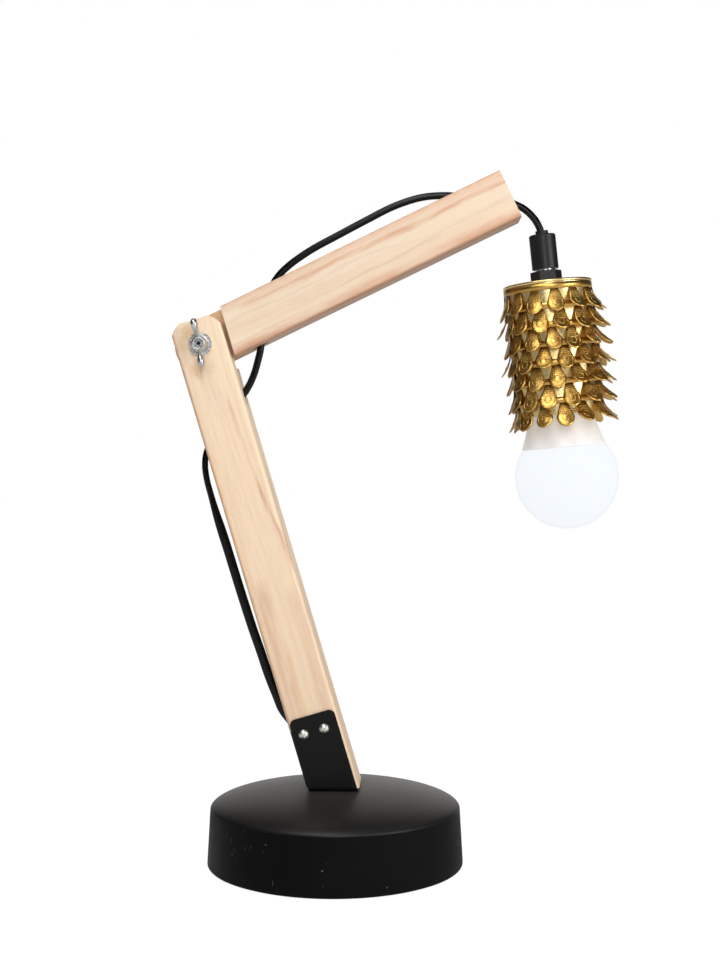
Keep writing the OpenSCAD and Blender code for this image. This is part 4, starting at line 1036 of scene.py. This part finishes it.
def easeEdge(node, key, body, width, s):
    mesh = nodes[node].data.copy()
    mesh.transform(nodes[node].matrix_world)
    obj = addObject("eased" + node.title().replace("_", ""), mesh)
    with editing(mesh) as bm:
        bmesh.ops.remove_doubles(bm, verts=bm.verts, dist=s["merge"])
        bmesh.ops.dissolve_limit(bm, angle_limit=radians(s["flat"]), verts=bm.verts, edges=bm.edges)
        sharpen(bm, s["sharp"])
    mod = obj.modifiers.new("ease", "BEVEL")
    mod.width = width * mm
    mod.segments = s["segments"]
    mod.limit_method = "ANGLE"
    mod.angle_limit = radians(s["cut"])
    mod.use_clamp_overlap = True
    mod.harden_normals = True
    return finishPiece(obj, key, body, node)


eased = {}
for (key, slot), group in easeSettings.items():
    for node, (body, width) in group.items():
        eased[node] = easeEdge(node, key, body, width, easeLimits)
print("edges eased")


# strap round the coil; section is its cut as shares of half its width and thickness
strapSettings = {
    "turn": 235, "near": 14.05, "far": 31.25, "low": 0.55, "high": 20.5, "corner": 2.2, "width": 10,
    "thick": 0.9, "cornerSteps": 6,
    "section": [(-1, 0.55), (-0.94, 1), (0, 1.06), (0.94, 1), (1, 0.55), (1, -0.55), (0.94, -1), (-0.94, -1),
                (-1, -0.55)],
}


def makeStrap(s):
    cx, cy = cordSettings["coilMid"]
    place = moved(cx, cy, 0) @ turned(s["turn"], "Z")
    corner, section = s["corner"], s["section"]
    left, right = s["near"] + corner, s["far"] - corner
    low, high = s["low"] + corner, s["high"] - corner
    verts, faces, rows = [], [], []
    for mx, mz, start in ((right, high, 0), (left, high, 90), (left, low, 180), (right, low, 270)):
        for k in range(s["cornerSteps"] + 1):
            a = radians(start + 90 / s["cornerSteps"] * k)
            c, q = cos(a), sin(a)
            rows.append(list(range(len(verts), len(verts) + len(section))))
            for u, t in section:
                h = t * s["thick"] / 2
                point = Vector((mx + corner * c + c * h, u * s["width"] / 2, mz + corner * q + q * h))
                verts.append(place @ (point * mm))
    for a, b in zip(rows, rows[1:] + rows[:1]):
        faces += strip(a, b)
    obj = newPiece("coilStrap", verts, faces)
    faceOut(obj, 60)
    return finishPiece(obj, "strapWeave", "stand", "coil_tie")


# ribbed boot where the lead leaves the base; a rib's points are (start or end radius, inset, share of its length)
bootSettings = {
    "inner": 69.22, "wall": 74.52, "end": 98.5, "height": 9, "turn": 42, "flange": 5.7, "neck": 4.4, "collar": 5.2,
    "root": 4.4, "tip": 2.9, "ribs": 8, "flangeThick": 2, "chamfer": 0.4, "collarFrom": 0.3, "collarTo": 2.3,
    "rib": [(0, 0.7, 0), (0, 0.7, 0.3), (0, 0.1, 0.38), (1, 0, 0.92), (1, 0.3, 1)],
}


def makeBoot(s):
    inner, flange, neck, collar, cut = s["inner"], s["flange"], s["neck"], s["collar"], s["chamfer"]
    behind, first, last = inner + s["flangeThick"], s["wall"] + s["collarFrom"], s["wall"] + s["collarTo"]
    line = [(0, inner), (flange, inner), (flange, behind), (neck, behind), (neck, first),
            (collar - cut, first), (collar, first + cut), (collar, last - cut), (collar - cut, last)]
    step = (s["end"] - last) / s["ribs"]
    radii = [s["root"] + (s["tip"] - s["root"]) * i / s["ribs"] for i in range(s["ribs"] + 1)]
    for i in range(s["ribs"]):
        line += [(radii[i + end] - inset, last + (i + share) * step) for end, inset, share in s["rib"]]
    line.append((0, s["end"]))
    out = radians(s["turn"])
    facing = Vector((sin(out), cos(out), 0)).to_track_quat("Z", "Y").to_matrix().to_4x4()
    obj = lathe("cordBoot", line, moved(0, 0, s["height"]) @ facing, turns=40, sharp=35)
    finishPiece(obj, "mouldedBlack", "stand", "strain_relief")


makeBoot(bootSettings)
makeCords(cordSettings, makeStrap(strapSettings), eased["plug_body"])
print("cords, strap and boot made")


# floor, light and background; lamps are (place, aim, size, power)
studioSettings = {
    "floor": (0.62, 0.62, 0.62, 1), "reach": 6, "drop": 0.0002, "floorRough": 0.9, "glow": 1.13, "white": 0.86,
    "mirror": 0.45, "ambient": 0.36, "roomTone": 0.04, "backdrop": (0.8, 0.98),
    "lamps": {
        "keyLamp": ((0.12, -1.24, 0.82), (0.02, 0, 0.24), (0.42, 1), 7.2),
        "fillLamp": ((1.05, -0.65, 0.5), (0, 0, 0.22), (0.6, 0.8), 7.6),
        "topLamp": ((-0.2, -0.45, 1.2), (0.08, -0.02, 0.28), (0.5, 0.6), 4.8),
    },
}


def addLamp(name, place, aim, size, power):
    lamp = bpy.data.lights.new(name, "AREA")
    lamp.shape = "RECTANGLE"
    lamp.size, lamp.size_y = size
    lamp.energy = power
    pointAt(addObject(name, lamp), place, aim)


def makeFloor(s):
    corners = [(x * s["reach"], y * s["reach"], -s["drop"]) for x, y in ((-1, -1), (1, -1), (1, 1), (-1, 1))]
    mesh = bpy.data.meshes.new("floor")
    mesh.from_pydata(corners, [], [[0, 1, 2, 3]])
    ground = addObject("floor", mesh)
    g = startMaterial("floorWhite", Base_Color=s["floor"], Roughness=s["floorRough"])
    path = g.add("ShaderNodeLightPath").outputs
    mirrored = g.times(path["Is Glossy Ray"], s["mirror"])
    seen = g.times(g.most(path["Is Camera Ray"], mirrored, path["Is Transmission Ray"]), s["white"])
    glow = g.add("ShaderNodeEmission", {"Strength": s["glow"]})
    blend = g.add("ShaderNodeMixShader", {0: seen, 1: g.shader.outputs[0], 2: glow.outputs[0]})
    g.join(blend.outputs[0], g.tree.nodes["Material Output"].inputs["Surface"])
    paint(ground, "floorWhite")


def makeWorld(s):
    world = scene.world = bpy.data.worlds.new("studio")
    world.use_nodes = True
    g = Graph(world.node_tree)
    sky = g.tree.nodes["Background"]
    setSocket(sky, Color=(1, 1, 1, 1))
    path = g.add("ShaderNodeLightPath").outputs
    ahead = g.axes(g.add("ShaderNodeTexCoord").outputs["Generated"])[1]
    mirrored = g.remap(ahead, *s["backdrop"], s["roomTone"], 1)
    level = g.plus(s["ambient"], g.times(path["Is Glossy Ray"], g.minus(mirrored, s["ambient"])))
    seen = g.most(path["Is Camera Ray"], path["Is Transmission Ray"])
    g.join(g.most(level, seen), sky.inputs["Strength"])


scene.view_settings.view_transform = "Standard"
makeFloor(studioSettings)
makeWorld(studioSettings)
for name, lamp in studioSettings["lamps"].items():
    addLamp(name, *lamp)
print("studio made")
